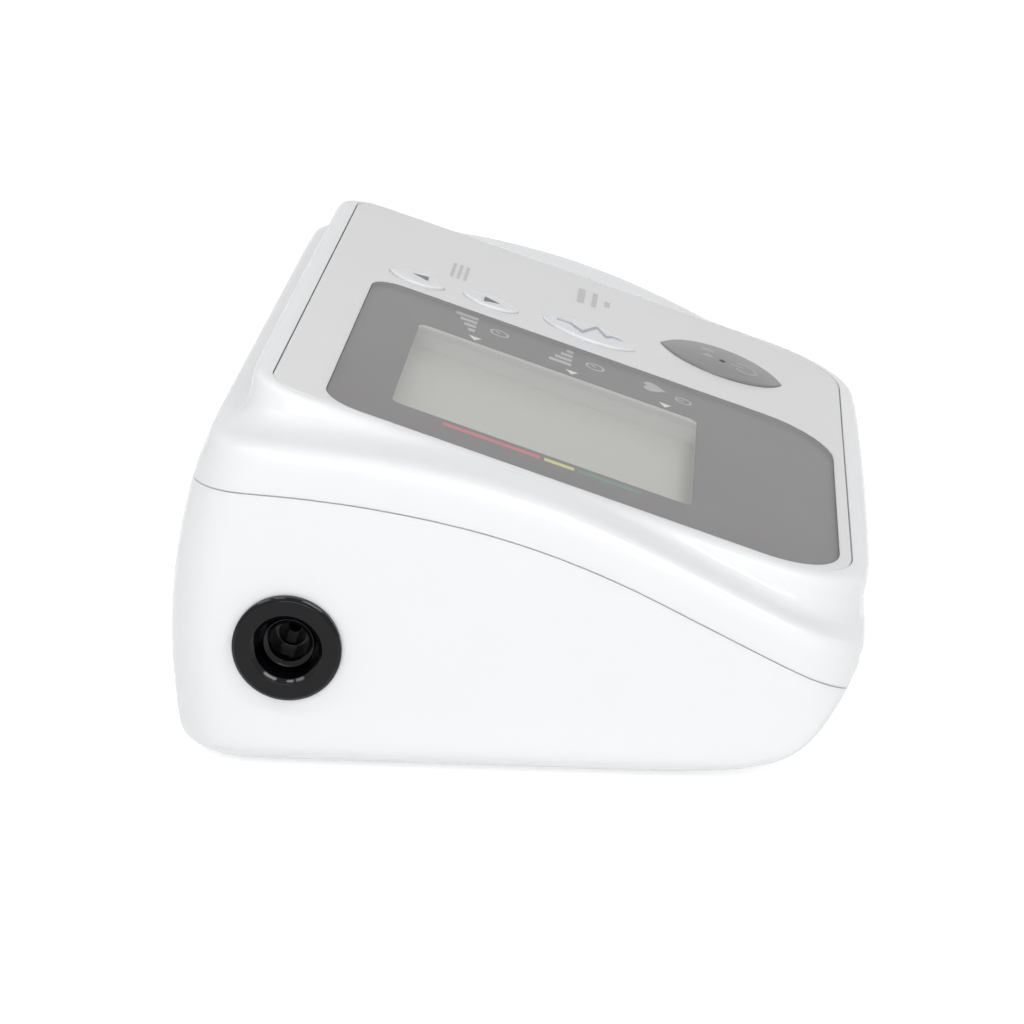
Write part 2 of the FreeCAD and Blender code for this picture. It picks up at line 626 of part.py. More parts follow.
def skin_solid(inset, top):
    """The closed solid inside the skin that lies inset within the outside of the case."""
    rings = skin_rings(inset, top)
    around = len(rings[0])
    down = len(rings)
    poles = [[ring[i] for ring in rings] for i in range(around)]
    skin = Part.BSplineSurface()
    skin.buildFromPolesMultsKnots(
        poles, [1] * (around + 1), [4] + [1] * (down - 4) + [4],
        list(range(around + 1)), list(range(down - 2)), True, False, 3, 3,
    )
    faces = [skin.toShape()]
    for v in (0, down - 3):
        faces.append(Part.Face(Part.Wire([skin.vIso(v).toShape()])))
    shell = Part.makeShell(faces)
    shell.sewShape()
    solid = Part.makeSolid(shell)
    if solid.Volume < 0:
        solid.reverse()
    return solid


def seam_prism(lift, depth):
    """A slab across the whole case whose top follows the parting line, moved up by lift."""
    half_w = CASE_HALF_W + THROUGH

    def at(y):
        return V(-half_w, y, shoulder_z(y) - SEAM_DROP + lift)

    ys = [BACK_Y + THROUGH] + [y for y, _ in SHOULDER_BENDS] + [FRONT_Y - THROUGH]
    ends = [at(y) for y in ys]
    edges = [Part.makeLine(ends[0], ends[1])]
    for (y0, slope0), (y1, _) in zip(SHOULDER_BENDS, SHOULDER_BENDS[1:]):
        bend = Part.BezierCurve()
        middle = (y0 + y1) / 2.0
        pull = V(-half_w, middle, at(y0).z - slope0 * (y0 - middle))
        bend.setPoles([at(y0), pull, at(y1)])
        edges.append(bend.toShape())
    edges.append(Part.makeLine(ends[-2], ends[-1]))
    floor = ends[-1].z - depth
    corners = [ends[-1], V(-half_w, ys[-1], floor), V(-half_w, ys[0], floor), ends[0]]
    edges += [Part.makeLine(p, q) for p, q in zip(corners, corners[1:])]
    return Part.Face(Part.Wire(edges)).extrude(V(2 * half_w, 0, 0))


# ---------------------------------------------------------------------------------------
# Plain solids
# ---------------------------------------------------------------------------------------

def block(x, y, z):
    """A box from its (low, high) pair along each axis."""
    return Part.makeBox(x[1] - x[0], y[1] - y[0], z[1] - z[0], V(x[0], y[0], z[0]))


def grown(pair, by):
    return pair[0] - by, pair[1] + by


def bar(radius, start, end):
    """A round bar from one point to another."""
    return Part.makeCylinder(radius, (end - start).Length, start, end - start)


def tube(outer_r, inner_r, start, end):
    return bar(outer_r, start, end).cut(bar(inner_r, start, end))


def turned(corners, y, z):
    """A solid turned about a line along X, from its (x, radius) corners."""
    points = [V(x, y, z + r) for x, r in corners]
    face = Part.Face(Part.makePolygon(points + points[:1]))
    return face.revolve(V(0, y, z), X_AXIS, 360)


def joined(shapes):
    return shapes[0].fuse(shapes[1:]).removeSplitter()


def bent_path(start, corner, end, bend_r):
    """Two straight runs with a tangent arc in place of their corner."""
    back = (start - corner).normalize()
    on = (end - corner).normalize()
    half_turn = back.getAngle(on) / 2
    reach = bend_r / math.tan(half_turn)
    inward = (back + on).normalize()
    arc_start = corner + back * reach
    arc_end = corner + on * reach
    arc_middle = corner + inward * (bend_r / math.sin(half_turn) - bend_r)
    return Part.Wire([
        Part.makeLine(start, arc_start),
        Part.Arc(arc_start, arc_middle, arc_end).toShape(),
        Part.makeLine(arc_end, end),
    ])


def bent_tube(start, corner, end, bend_r, outer_r, inner_r):
    path = bent_path(start, corner, end, bend_r)
    rings = [Part.Wire([Part.makeCircle(r, start, corner - start)]) for r in (outer_r, inner_r)]
    outside, inside = [path.makePipeShell([ring], True, False) for ring in rings]
    return outside.cut(inside)


# ---------------------------------------------------------------------------------------
# Work in the panel's plane
# ---------------------------------------------------------------------------------------

def on_panel(shape):
    """Carry a shape made in the panel's plane, with n along Z, to its place on the case."""
    shape.rotate(V(0, 0, 0), X_AXIS, math.degrees(PANEL_PITCH))
    shape.translate(V(0, 0, PANEL_Z))
    return shape


def panel_point(x, s, n):
    return V(x, s * PANEL_COS - n * PANEL_SIN, PANEL_Z + s * PANEL_SIN + n * PANEL_COS)


def rounded_slab(x, y, n, front_r, back_r):
    """A slab with rounded corners, between two heights n."""
    corners = (
        (x[1] - back_r, y[1] - back_r, back_r, 0),
        (x[0] + back_r, y[1] - back_r, back_r, 90),
        (x[0] + front_r, y[0] + front_r, front_r, 180),
        (x[1] - front_r, y[0] + front_r, front_r, 270),
    )
    arcs = [
        Part.makeCircle(r, V(cx, cy, n[0]), Z_AXIS, turn, turn + 90)
        for cx, cy, r, turn in corners
    ]
    edges = []
    for arc, following in zip(arcs, arcs[1:] + arcs[:1]):
        edges += [arc, Part.makeLine(arc.Vertexes[-1].Point, following.Vertexes[0].Point)]
    return Part.Face(Part.Wire(edges)).extrude(V(0, 0, n[1] - n[0]))


def lens_slab(length, width, n, grow=0.0):
    """A slab shaped as a lens, long in y: two arcs that meet in rounded tips."""
    reach = length / 2 + grow
    half_w = width / 2 + grow
    tips = (V(0, -reach, n[0]), V(0, reach, n[0]))
    sides = [Part.Arc(tips[0], V(side, 0, n[0]), tips[1]).toShape() for side in (half_w, -half_w)]
    slab = Part.Face(Part.Wire(sides)).extrude(V(0, 0, n[1] - n[0]))
    upright = [edge for edge in slab.Edges if edge.tangentAt(edge.FirstParameter).cross(Z_AXIS).Length < 0.01]
    return slab.makeFillet(BUTTON_TIP_R + grow, upright)


def edges_at_height(shape, n):
    """The shape's edges that lie flat at this height."""
    return [
        edge for edge in shape.Edges
        if abs(edge.BoundBox.ZMin - n) < 0.001 and abs(edge.BoundBox.ZMax - n) < 0.001
    ]


def plate_slab(grow, n):
    return rounded_slab(
        (-PLATE_HALF_W - grow, PLATE_HALF_W + grow), (PLATE_FRONT_S - grow, PLATE_BACK_S + grow), n,
        PLATE_FRONT_R + grow, PLATE_BACK_R + grow,
    )


# ---------------------------------------------------------------------------------------
# Front panel, window and buttons
# ---------------------------------------------------------------------------------------

def button_place(name):
    """A button's sizes, with its x from the mid-plane."""
    from_window, *others = BUTTONS[name]
    return [WINDOW_RIGHT_X + from_window] + others


def make_front_panel():
    plate = plate_slab(0.0, (-PLATE_T, 0.0))
    plate = plate.makeFillet(PLATE_EDGE_R, edges_at_height(plate, 0.0))
    cuts = [
        rounded_slab(WINDOW_X, WINDOW_S, (-WINDOW_RECESS, THROUGH), WINDOW_FRONT_R, WINDOW_BACK_R),
        rounded_slab(
            grown(VIEW_X, WELL_GROW), grown(VIEW_S, WELL_GROW), (-THROUGH, THROUGH),
            VIEW_R + WELL_GROW, VIEW_R + WELL_GROW,
        ),
    ]
    for name in BUTTONS:
        x, s, length, width, _, _ = button_place(name)
        hole = lens_slab(length, width, (-THROUGH, THROUGH), BUTTON_GAP)
        hole.translate(V(x, s, 0))
        cuts.append(hole)
    posts = []
    for x, s in BOARD_POSTS:
        posts.append(bar(POST_R, V(x, s, BOARD_N), V(x, s, -PLATE_T)))
        cuts.append(bar(POST_PILOT_R, V(x, s, BOARD_N - BITE), V(x, s, BOARD_N + POST_PILOT_DEPTH)))
    return on_panel(plate.fuse(posts).cut(cuts))


def window_slab(n):
    return rounded_slab(
        grown(WINDOW_X, -WINDOW_GAP), grown(WINDOW_S, -WINDOW_GAP), n,
        WINDOW_FRONT_R - WINDOW_GAP, WINDOW_BACK_R - WINDOW_GAP,
    )


def make_display_window():
    slab = window_slab((MASK_T - WINDOW_RECESS, -WINDOW_LOW))
    return on_panel(slab.makeFillet(WINDOW_EDGE_R, edges_at_height(slab, -WINDOW_LOW)))


def make_window_mask():
    n = (-WINDOW_RECESS, MASK_T - WINDOW_RECESS)
    opening = rounded_slab(VIEW_X, VIEW_S, grown(n, BITE), VIEW_R, VIEW_R)
    return on_panel(window_slab(n).cut(opening))


def button_cap(length, width, crown_h, crown_r):
    flange_n = -PLATE_T - BUTTON_FLANGE_DROP
    cap = lens_slab(length, width, (flange_n, crown_h + BITE))
    dome = Part.makeSphere(crown_r, V(0, 0, crown_h - crown_r))
    cap = cap.common(dome)
    rim = [edge for edge in cap.Edges if edge.BoundBox.ZMin > flange_n + BITE]
    cap = cap.makeFillet(BUTTON_EDGE_R, rim)
    flange = lens_slab(length, width, (flange_n - BUTTON_FLANGE_T, flange_n), BUTTON_FLANGE)
    stem = bar(BUTTON_STEM_R, V(0, 0, SWITCH_TOP_N + PLUNGER_RISE), V(0, 0, flange_n))
    return joined([cap, flange, stem])


def make_button(name):
    x, s, length, width, crown_h, crown_r = button_place(name)
    cap = button_cap(length, width, crown_h, crown_r)
    cap.translate(V(x, s, 0))
    return on_panel(cap)


def make_switch_plunger(name):
    x, s = button_place(name)[:2]
    low = SWITCH_TOP_N - PLUNGER_SINK
    return on_panel(bar(PLUNGER_R, V(x, s, low), V(x, s, SWITCH_TOP_N + PLUNGER_RISE)))


def make_tact_switches():
    half = SWITCH_SIZE / 2
    switches = []
    for name in BUTTONS:
        x, s = button_place(name)[:2]
        body = block((x - half, x + half), (s - half, s + half), (BOARD_N, SWITCH_TOP_N))
        hole_n = SWITCH_TOP_N - PLUNGER_SINK - PLUNGER_ROOM
        switches.append(body.cut(bar(PLUNGER_R + FIT_GAP, V(x, s, hole_n), V(x, s, 0.0))))
    return on_panel(Part.makeCompound(switches))


# ---------------------------------------------------------------------------------------
# Display and board
# ---------------------------------------------------------------------------------------

def make_lcd_glass():
    n = (GLASS_N - GLASS_T, GLASS_N)
    return on_panel(block(grown(VIEW_X, GLASS_GROW), grown(VIEW_S, GLASS_GROW), n))


def make_lcd_holder():
    pocket_x = grown(VIEW_X, GLASS_GROW + FIT_GAP)
    pocket_s = grown(VIEW_S, GLASS_GROW + FIT_GAP)
    outside_s = grown(pocket_s, HOLDER_WALL)
    frame = block(grown(pocket_x, HOLDER_WALL), outside_s, (BOARD_N, HOLDER_TOP_N))
    pocket = block(pocket_x, pocket_s, (BOARD_N - BITE, GLASS_N + GLASS_GAP))
    well = rounded_slab(
        grown(VIEW_X, WELL_GROW), grown(VIEW_S, WELL_GROW), (BOARD_N, 0.0),
        VIEW_R + WELL_GROW, VIEW_R + WELL_GROW,
    )
    behind_board = block(
        grown(pocket_x, THROUGH), (BOARD_S[1] - BITE, outside_s[1] + BITE), (BOARD_N - BITE, HOLDER_BACK_N),
    )
    return on_panel(frame.cut([pocket, well, behind_board]))


def make_lcd_connectors():
    n = (BOARD_N, GLASS_N - GLASS_T)
    starts = (VIEW_S[0] - STRIP_SET_OUT, VIEW_S[1] - STRIP_SET_IN)
    strips = [block(VIEW_X, (s, s + STRIP_W), n) for s in starts]
    return on_panel(Part.makeCompound(strips))


def make_main_board():
    n = (BOARD_N - BOARD_T, BOARD_N)
    board = rounded_slab(BOARD_X, BOARD_S, n, *BOARD_CORNER_R)
    wing = block((WING_X, BOARD_X[1]), (BOARD_S[1] - WING_OVERLAP, WING_S), n)
    holes = [bar(BOARD_HOLE_R, V(x, s, n[0] - BITE), V(x, s, n[1] + BITE)) for x, s in BOARD_POSTS]
    return on_panel(joined([board, wing]).cut(holes))


def make_board_chips():
    top = BOARD_N - BOARD_T
    chips = []
    for right, up, width, length, height in CHIPS:
        x = BOARD_X[0] + right
        s = BOARD_S[0] + up
        chips.append(block(grown((x, x), width / 2), grown((s, s), length / 2), (top - height, top)))
    return on_panel(Part.makeCompound(chips))


def make_board_screws():
    seat = BOARD_N - BOARD_T
    head_r, head_h = BOARD_SCREW_HEAD
    slot_n = (seat - head_h - BITE, seat - head_h + SLOT_DEPTH)
    screws = []
    for x, s in BOARD_POSTS:
        head = bar(head_r, V(x, s, seat - head_h), V(x, s, seat))
        slot = block((x - head_r, x + head_r), grown((s, s), SLOT_W / 2), slot_n)
        shank = bar(BOARD_SCREW_R, V(x, s, seat), V(x, s, BOARD_N + BOARD_SCREW_BITE))
        screws.append(joined([head, shank]).cut(slot))
    return on_panel(Part.makeCompound(screws))


def make_buzzer():
    x = BOARD_X[1] - BUZZER_IN[0]
    s = BOARD_S[0] + BUZZER_IN[1]
    top = BOARD_N - BOARD_T
    low = top - BUZZER_H
    can = bar(BUZZER_R, V(x, s, low), V(x, s, top))
    return on_panel(can.cut(bar(BUZZER_HOLE_R, V(x, s, low - BITE), V(x, s, low + BUZZER_HOLE_DEPTH))))


def make_pressure_sensor():
    top = BOARD_N - BOARD_T
    body = block(grown((TUBE_X, TUBE_X), SENSOR_HALF_W), SENSOR_S, (top - SENSOR_H, top))
    start = V(TUBE_X, SENSOR_S[1], SENSOR_PORT_N)
    end = start + Y_AXIS * SENSOR_PORT_L
    bore = bar(PORT_BORE_R, start - Y_AXIS * SENSOR_BORE_DEPTH, end + Y_AXIS)
    return on_panel(body.fuse(bar(PORT_R, start, end)).cut(bore))


# ---------------------------------------------------------------------------------------
# Case halves, battery cover, feet and screws
# ---------------------------------------------------------------------------------------

def screw_axis(place, z0, z1, radius):
    return bar(radius, V(place[0], place[1], z0), V(place[0], place[1], z1))


def battery_bay():
    """The bay's walls and roof, the shelf that joins them to the floor, and its hollow."""
    half_w = BAY_HALF_W + BAY_WALL
    front_y = BAY_Y[0] - BAY_WALL
    back_y = BAY_Y[1] + BAY_BACK_WALL
    shelf_w = BAY_HALF_W + BAY_SHELF_W
    solids = [
        block((-half_w, half_w), (front_y, back_y), (BAY_Z[0], BAY_ROOF_Z)),
        block((-shelf_w, shelf_w), (BAY_Y[0] - BAY_SHELF_W, back_y), (BAY_Z[0], BAY_Z[0] + BAY_WALL)),
        block((-half_w, half_w), (back_y - BITE, BACK_Y - WALL + BITE), (BAY_Z[1] - BITE, BAY_ROOF_Z)),
    ]
    hollows = [
        block((-BAY_HALF_W, BAY_HALF_W), BAY_Y, (BAY_Z[0] - BITE, BAY_Z[1])),
        block((-shelf_w - BITE, shelf_w + BITE), (BAY_Y[1], back_y + BITE), (BAY_Z[0] - BITE, BAY_BACK_Z)),
    ]
    return solids, hollows


def cradle(x, radius):
    """Ribs on the bay's roof with a round saddle for the pump."""
    ribs = block(x, grown((PUMP_Y, PUMP_Y), radius + CRADLE_LAP), (BAY_ROOF_Z - BITE, CRADLE_WALL_Z))
    return ribs.cut(pump_bar(radius + CRADLE_FIT, grown(x, BITE)))


def lower_posts():
    """Posts on the floor under the manifold and the valve, and the seat of the power jack."""
    floor = WALL - BITE
    posts = []
    for reach, z in ((MANIFOLD_Y, MANIFOLD_Z), (VALVE_Y, VALVE_Z)):
        for y in grown(reach, -STAND_IN):
            posts.append(bar(STAND_R, V(TUBE_X, y, floor), V(TUBE_X, y, z[0])))
    seat_x = (CASE_HALF_W - JACK_L + 1.0, CASE_HALF_W - WALL - 1.0)
    seat_y = grown((JACK_Y, JACK_Y), JACK_HALF_W - 1.0)
    posts.append(block(seat_x, seat_y, (floor, JACK_Z + JACK_Z_REACH[0])))
    return posts


def make_lower_case(outer, inner):
    lip_region = skin_solid(WALL - LIP_T, TOP_WALL).common(seam_prism(LIP_H, SHOULDER_Z))
    walls = outer.common(seam_prism(-SEAM_GAP / 2, SHOULDER_Z)).fuse(lip_region).cut(inner)
    cover_x = (-COVER_HALF_W - COVER_GAP, COVER_HALF_W + COVER_GAP)
    cover_cut = [
        block(cover_x, (COVER_FRONT_Y - COVER_GAP, BACK_Y + THROUGH), (-THROUGH, COVER_TOP_Z + COVER_GAP)),
        block(
            grown(cover_x, TONGUE_REACH), (TONGUE_Y[0] - COVER_GAP, BACK_Y + THROUGH),
            grown(TONGUE_Z, COVER_GAP),
        ),
    ]
    case = walls.cut(cover_cut)
    solids, hollows = battery_bay()
    bosses = [screw_axis(place, WALL - BITE, BOSS_SPLIT_Z - FIT_GAP / 2, BOSS_R) for place in CASE_SCREWS]
    cradles = [cradle(SLEEVE_X, SLEEVE_R), cradle(HEAD_SLEEVE_X, HEAD_SLEEVE_R)]
    case = case.fuse(solids + bosses + cradles + lower_posts())
    cuts = hollows
    for place in CASE_SCREWS:
        cuts.append(screw_axis(place, -BITE, SCREW_SEAT_Z, SCREW_WELL_R))
        cuts.append(screw_axis(place, SCREW_SEAT_Z - BITE, BOSS_SPLIT_Z + BITE, SCREW_R + SCREW_HOLE_GAP))
    cuts += [screw_axis(place, -BITE, FOOT_SINK, FOOT_R + FIT_GAP) for place in FEET]
    wall_x = (CASE_HALF_W - WALL - BITE, CASE_HALF_W + BITE)
    cuts.append(bar(SOCKET_HOLE_R, V(-wall_x[1], SOCKET_Y, SOCKET_Z), V(-wall_x[0], SOCKET_Y, SOCKET_Z)))
    cuts.append(bar(JACK_HOLE_R, V(wall_x[0], JACK_Y, JACK_Z), V(wall_x[1], JACK_Y, JACK_Z)))
    return case.cut(cuts)


def make_upper_case(outer, inner):
    rebate = skin_solid(WALL - LIP_T - FIT_GAP, TOP_WALL).common(seam_prism(LIP_H + LIP_ROOM, SHOULDER_Z))
    case = outer.cut([seam_prism(SEAM_GAP / 2, SHOULDER_Z), inner, rebate])
    bosses = [screw_axis(place, BOSS_SPLIT_Z + FIT_GAP / 2, SHOULDER_Z, BOSS_R) for place in CASE_SCREWS]
    within = skin_solid(WALL - BITE, TOP_WALL - BITE)
    case = case.fuse([boss.common(within) for boss in bosses])
    cuts = [
        on_panel(plate_slab(PLATE_GAP, (-PLATE_T, THROUGH))),
        on_panel(plate_slab(-PLATE_LEDGE, (-TOP_WALL - BITE, THROUGH))),
    ]
    pilot_z = (BOSS_SPLIT_Z - BITE, SCREW_SEAT_Z + SCREW_LENGTH + 1.0)
    cuts += [screw_axis(place, *pilot_z, SCREW_PILOT_R) for place in CASE_SCREWS]
    return case.cut(cuts)


def make_battery_cover(outer):
    skin = outer.cut(skin_solid(COVER_T, TOP_WALL))
    region = block(
        (-COVER_HALF_W, COVER_HALF_W), (COVER_FRONT_Y, BACK_Y + THROUGH), (-THROUGH, COVER_TOP_Z),
    )
    plate = skin.common(region)
    reach = COVER_HALF_W + TONGUE_REACH
    tongue = block((-reach, reach), TONGUE_Y, TONGUE_Z)
    grips = []
    for i in range(GRIP_COUNT):
        y = GRIP_FIRST_Y + i * GRIP_PITCH
        z = GRIP_SINK - GRIP_R
        grips.append(bar(GRIP_R, V(-GRIP_HALF_W, y, z), V(GRIP_HALF_W, y, z)))
    return joined([plate, tongue]).cut(grips)


def make_rubber_feet():
    feet = []
    for place in FEET:
        foot = screw_axis(place, -FOOT_H, FOOT_SINK, FOOT_R)
        feet.append(foot.makeFillet(FOOT_EDGE_R, edges_at_height(foot, -FOOT_H)))
    return Part.makeCompound(feet)


def make_case_screws():
    screws = []
    for place in CASE_SCREWS:
        head = screw_axis(place, SCREW_SEAT_Z - SCREW_HEAD_H, SCREW_SEAT_Z, SCREW_HEAD_R)
        shank = screw_axis(place, SCREW_SEAT_Z, SCREW_SEAT_Z + SCREW_LENGTH, SCREW_R)
        low = SCREW_SEAT_Z - SCREW_HEAD_H
        arms = ((CROSS_REACH, CROSS_HALF_W), (CROSS_HALF_W, CROSS_REACH))
        cross = [
            block((place[0] - a, place[0] + a), (place[1] - b, place[1] + b), (low - BITE, low + CROSS_DEPTH))
            for a, b in arms
        ]
        screws.append(joined([head, shank]).cut(cross))
    return Part.makeCompound(screws)


# ---------------------------------------------------------------------------------------
# Battery
# ---------------------------------------------------------------------------------------

def cell_rows():
    """Each cell's y, and which way its positive end faces."""
    return [(CELL_FIRST_Y + i * CELL_PITCH, 1 if i % 2 else -1) for i in range(CELL_COUNT)]


def make_battery_cells():
    cells = []
    for y, way in cell_rows():
        tip = BAY_HALF_W - 2 * CONTACT_T
        body = turned(
            ((0, 0), (0, CELL_R), (CELL_LENGTH, CELL_R), (CELL_LENGTH, CELL_NUB_R),
             (CELL_LENGTH + CELL_NUB_H, CELL_NUB_R), (CELL_LENGTH + CELL_NUB_H, 0)), 0, 0,
        )
        body.translate(V(tip - CELL_LENGTH - CELL_NUB_H, 0, 0))
        if way < 0:
            body.rotate(V(0, 0, 0), Z_AXIS, 180)
        body.translate(V(0, y, CELL_Z))
        cells.append(body)
    return Part.makeCompound(cells)


def contact_plate(y, way, thickness):
    half = CONTACT_SIZE / 2
    x = sorted((way * BAY_HALF_W, way * (BAY_HALF_W - thickness)))
    return block(x, (y - half, y + half), (CELL_Z - half, CELL_Z + half))


def make_button_contacts():
    contacts = []
    for y, way in cell_rows():
        plate = contact_plate(y, way, CONTACT_T)
        x = way * (BAY_HALF_W - CONTACT_T)
        dimple = bar(CELL_NUB_R, V(x, y, CELL_Z), V(x - way * CONTACT_T, y, CELL_Z))
        contacts.append(joined([plate, dimple]))
    return Part.makeCompound(contacts)


def make_spring_contacts():
    contacts = []
    for y, way in cell_rows():
        plate = contact_plate(y, -way, CONTACT_T)
        x = -way * (BAY_HALF_W - CONTACT_T)
        foot = V(x, y, CELL_Z)
        cones = [
            Part.makeCone(SPRING_R - into, SPRING_TIP_R - into, SPRING_LENGTH, foot, X_AXIS * way)
            for into in (0.0, SPRING_WIRE)
        ]
        contacts.append(joined([plate, cones[0].cut(cones[1])]))
    return Part.makeCompound(contacts)


# ---------------------------------------------------------------------------------------
# Air socket and air lines
# ---------------------------------------------------------------------------------------

def make_air_socket():
    wall = -CASE_HALF_W
    face = wall - SOCKET_PROUD
    end = wall + SOCKET_END_DEPTH
    well = wall + SOCKET_WELL_DEPTH
    tip = wall + NOZZLE_DEPTH
    bore_end = tip + NOZZLE_BORE_DEPTH
    barb_wall = end - BARB_BORE_R
    corners = (
        (end + BARB_L, BARB_BORE_R), (end + BARB_L, BARB_R), (end, BARB_R), (end, SOCKET_NECK_R),
        (wall, SOCKET_NECK_R), (wall, SOCKET_FLANGE_R), (face, SOCKET_FLANGE_R), (face, SOCKET_WELL_R),
        (well, SOCKET_WELL_R), (well, NOZZLE_R), (tip, NOZZLE_R), (tip, NOZZLE_BORE_R),
        (bore_end, NOZZLE_BORE_R), (bore_end, NOZZLE_INNER_R), (barb_wall, NOZZLE_INNER_R),
        (barb_wall, BARB_BORE_R),
    )
    socket = turned(corners, SOCKET_Y, SOCKET_Z)

    def ring_edges(x, radius):
        return [
            edge for edge in socket.Edges
            if abs(edge.BoundBox.XMin - x) < 0.001 and abs(edge.BoundBox.XMax - x) < 0.001
            and abs(edge.BoundBox.ZMax - SOCKET_Z - radius) < 0.01
        ]

    socket = socket.makeFillet(SOCKET_FLANGE_ROUND, ring_edges(face, SOCKET_FLANGE_R))
    socket = socket.makeFillet(SOCKET_WELL_ROUND, ring_edges(face, SOCKET_WELL_R))
    return socket.makeFillet(NOZZLE_ROUND, ring_edges(tip, NOZZLE_R))


def make_socket_nut():
    centre = V(-CASE_HALF_W + WALL + FIT_GAP, SOCKET_Y, SOCKET_Z)
    sixth = math.radians(60.0)
    reach = NUT_FLATS / 2 / math.cos(sixth / 2)
    points = []
    for i in range(7):
        angle = sixth * (i + 0.5)
        points.append(centre + V(0, reach * math.cos(angle), reach * math.sin(angle)))
    nut = Part.Face(Part.makePolygon(points)).extrude(X_AXIS * NUT_T)
    return nut.cut(bar(SOCKET_NECK_R + TUBE_FIT, centre - X_AXIS, centre + X_AXIS * (NUT_T + BITE)))


def make_socket_tube():
    start = V(SOCKET_END_DEPTH - CASE_HALF_W + TUBE_END_GAP, SOCKET_Y, SOCKET_Z)
    end = V(MANIFOLD_X[0] - TUBE_END_GAP, SOCKET_Y, SOCKET_Z)
    return tube(BARB_TUBE_R, BARB_R + TUBE_FIT, start, end)


def make_air_manifold():
    top = MANIFOLD_Z[1]
    body = block(MANIFOLD_X, MANIFOLD_Y, MANIFOLD_Z)
    pump_top = PUMP_NOZZLE_Z - PUMP_BEND_R
    ports = (
        (BARB_R, V(MANIFOLD_X[0], SOCKET_Y, SOCKET_Z), V(MANIFOLD_X[0] - PORT_L, SOCKET_Y, SOCKET_Z)),
        (PORT_R, V(TUBE_X, PUMP_PORT_Y, top), V(TUBE_X, PUMP_PORT_Y, pump_top)),
        (PORT_R, V(TUBE_X, SENSOR_PORT_Y, top), V(TUBE_X, SENSOR_PORT_Y, top + PORT_L)),
        (PORT_R, V(TUBE_X, MANIFOLD_Y[0], SOCKET_Z), V(TUBE_X, MANIFOLD_Y[0] - PORT_L, SOCKET_Z)),
    )
    inside = -MANIFOLD_WALL
    bores = [block(grown(MANIFOLD_X, inside), grown(MANIFOLD_Y, inside), grown(MANIFOLD_Z, inside))]
    for radius, start, end in ports:
        out = (end - start).normalize()
        bores.append(bar(PORT_BORE_R, start - out * (MANIFOLD_WALL + BITE), end + out))
    return body.fuse([bar(*port) for port in ports]).cut(bores)


def make_pump_tube():
    start = V(HEAD_X[0] - TUBE_END_GAP, PUMP_PORT_Y, PUMP_NOZZLE_Z)
    corner = V(TUBE_X, PUMP_PORT_Y, PUMP_NOZZLE_Z)
    end = V(TUBE_X, PUMP_PORT_Y, MANIFOLD_Z[1] + TUBE_END_GAP)
    return bent_tube(start, corner, end, PUMP_BEND_R, TUBE_R, PORT_R + TUBE_FIT)


def make_sensor_tube():
    start = panel_point(TUBE_X, SENSOR_S[1] + TUBE_END_GAP, SENSOR_PORT_N)
    run = (SENSOR_PORT_Y - start.y) / PANEL_COS
    corner = start + V(0, PANEL_COS, PANEL_SIN) * run
    end = V(TUBE_X, SENSOR_PORT_Y, MANIFOLD_Z[1] + TUBE_END_GAP)
    return bent_tube(start, corner, end, SENSOR_BEND_R, TUBE_R, PORT_R + TUBE_FIT)


def make_valve_tube():
    start = V(TUBE_X, VALVE_Y[1] + TUBE_END_GAP, SOCKET_Z)
    end = V(TUBE_X, MANIFOLD_Y[0] - TUBE_END_GAP, SOCKET_Z)
    return tube(TUBE_R, PORT_R + TUBE_FIT, start, end)


# ---------------------------------------------------------------------------------------
# Pump and valve
# ---------------------------------------------------------------------------------------

def pump_bar(radius, x):
    return bar(radius, V(x[0], PUMP_Y, PUMP_Z), V(x[1], PUMP_Y, PUMP_Z))


def make_pump_motor():
    can = pump_bar(MOTOR_R, MOTOR_X)
    inside = pump_bar(MOTOR_R - MOTOR_WALL, (MOTOR_X[0] + MOTOR_WALL, MOTOR_X[1] + BITE))
    shaft_hole = pump_bar(SHAFT_R + SHAFT_FIT, (MOTOR_X[0] - BITE, MOTOR_X[1]))
    return can.cut([inside, shaft_hole])


def make_motor_end_cap():
    disc = pump_bar(MOTOR_R - MOTOR_WALL - TUBE_FIT, (MOTOR_X[1] - END_CAP_T, MOTOR_X[1]))
    blade_x = (MOTOR_X[1] - BITE, MOTOR_X[1] + BLADE_PROUD)
    blade_z = grown((PUMP_Z, PUMP_Z), BLADE_T / 2)
    blades = []
    for offset in (-BLADE_OFFSET, BLADE_OFFSET):
        blade_y = grown((PUMP_Y + offset, PUMP_Y + offset), BLADE_HALF_W)
        blades.append(block(blade_x, blade_y, blade_z))
    return disc.fuse(blades).cut(pump_bar(SHAFT_R + SHAFT_FIT, grown(MOTOR_X, THROUGH)))


def make_motor_magnets():
    ring = pump_bar(MAGNET_R[1], ROTOR_X).cut(pump_bar(MAGNET_R[0], ROTOR_X))
    split = block(
        grown(ROTOR_X, BITE), grown((PUMP_Y, PUMP_Y), MAGNET_SPLIT / 2), grown((PUMP_Z, PUMP_Z), MOTOR_R),
    )
    return ring.cut(split)


def make_motor_rotor():
    core = pump_bar(ROTOR_R, ROTOR_X)
    slots = []
    for i in range(3):
        across = grown((0.0, 0.0), ROTOR_SLOT_W / 2)
        slot = block(grown(ROTOR_X, BITE), across, (ROTOR_SLOT_R, ROTOR_R + BITE))
        slot.rotate(V(0, 0, 0), X_AXIS, 120.0 * i)
        slot.translate(V(0, PUMP_Y, PUMP_Z))
        slots.append(slot)
    shaft = pump_bar(SHAFT_R, SHAFT_X)
    crank = pump_bar(CRANK_R, CRANK_X)
    crank.translate(V(0, 0, CRANK_OFFSET))
    return joined([core.cut(slots), shaft, crank])


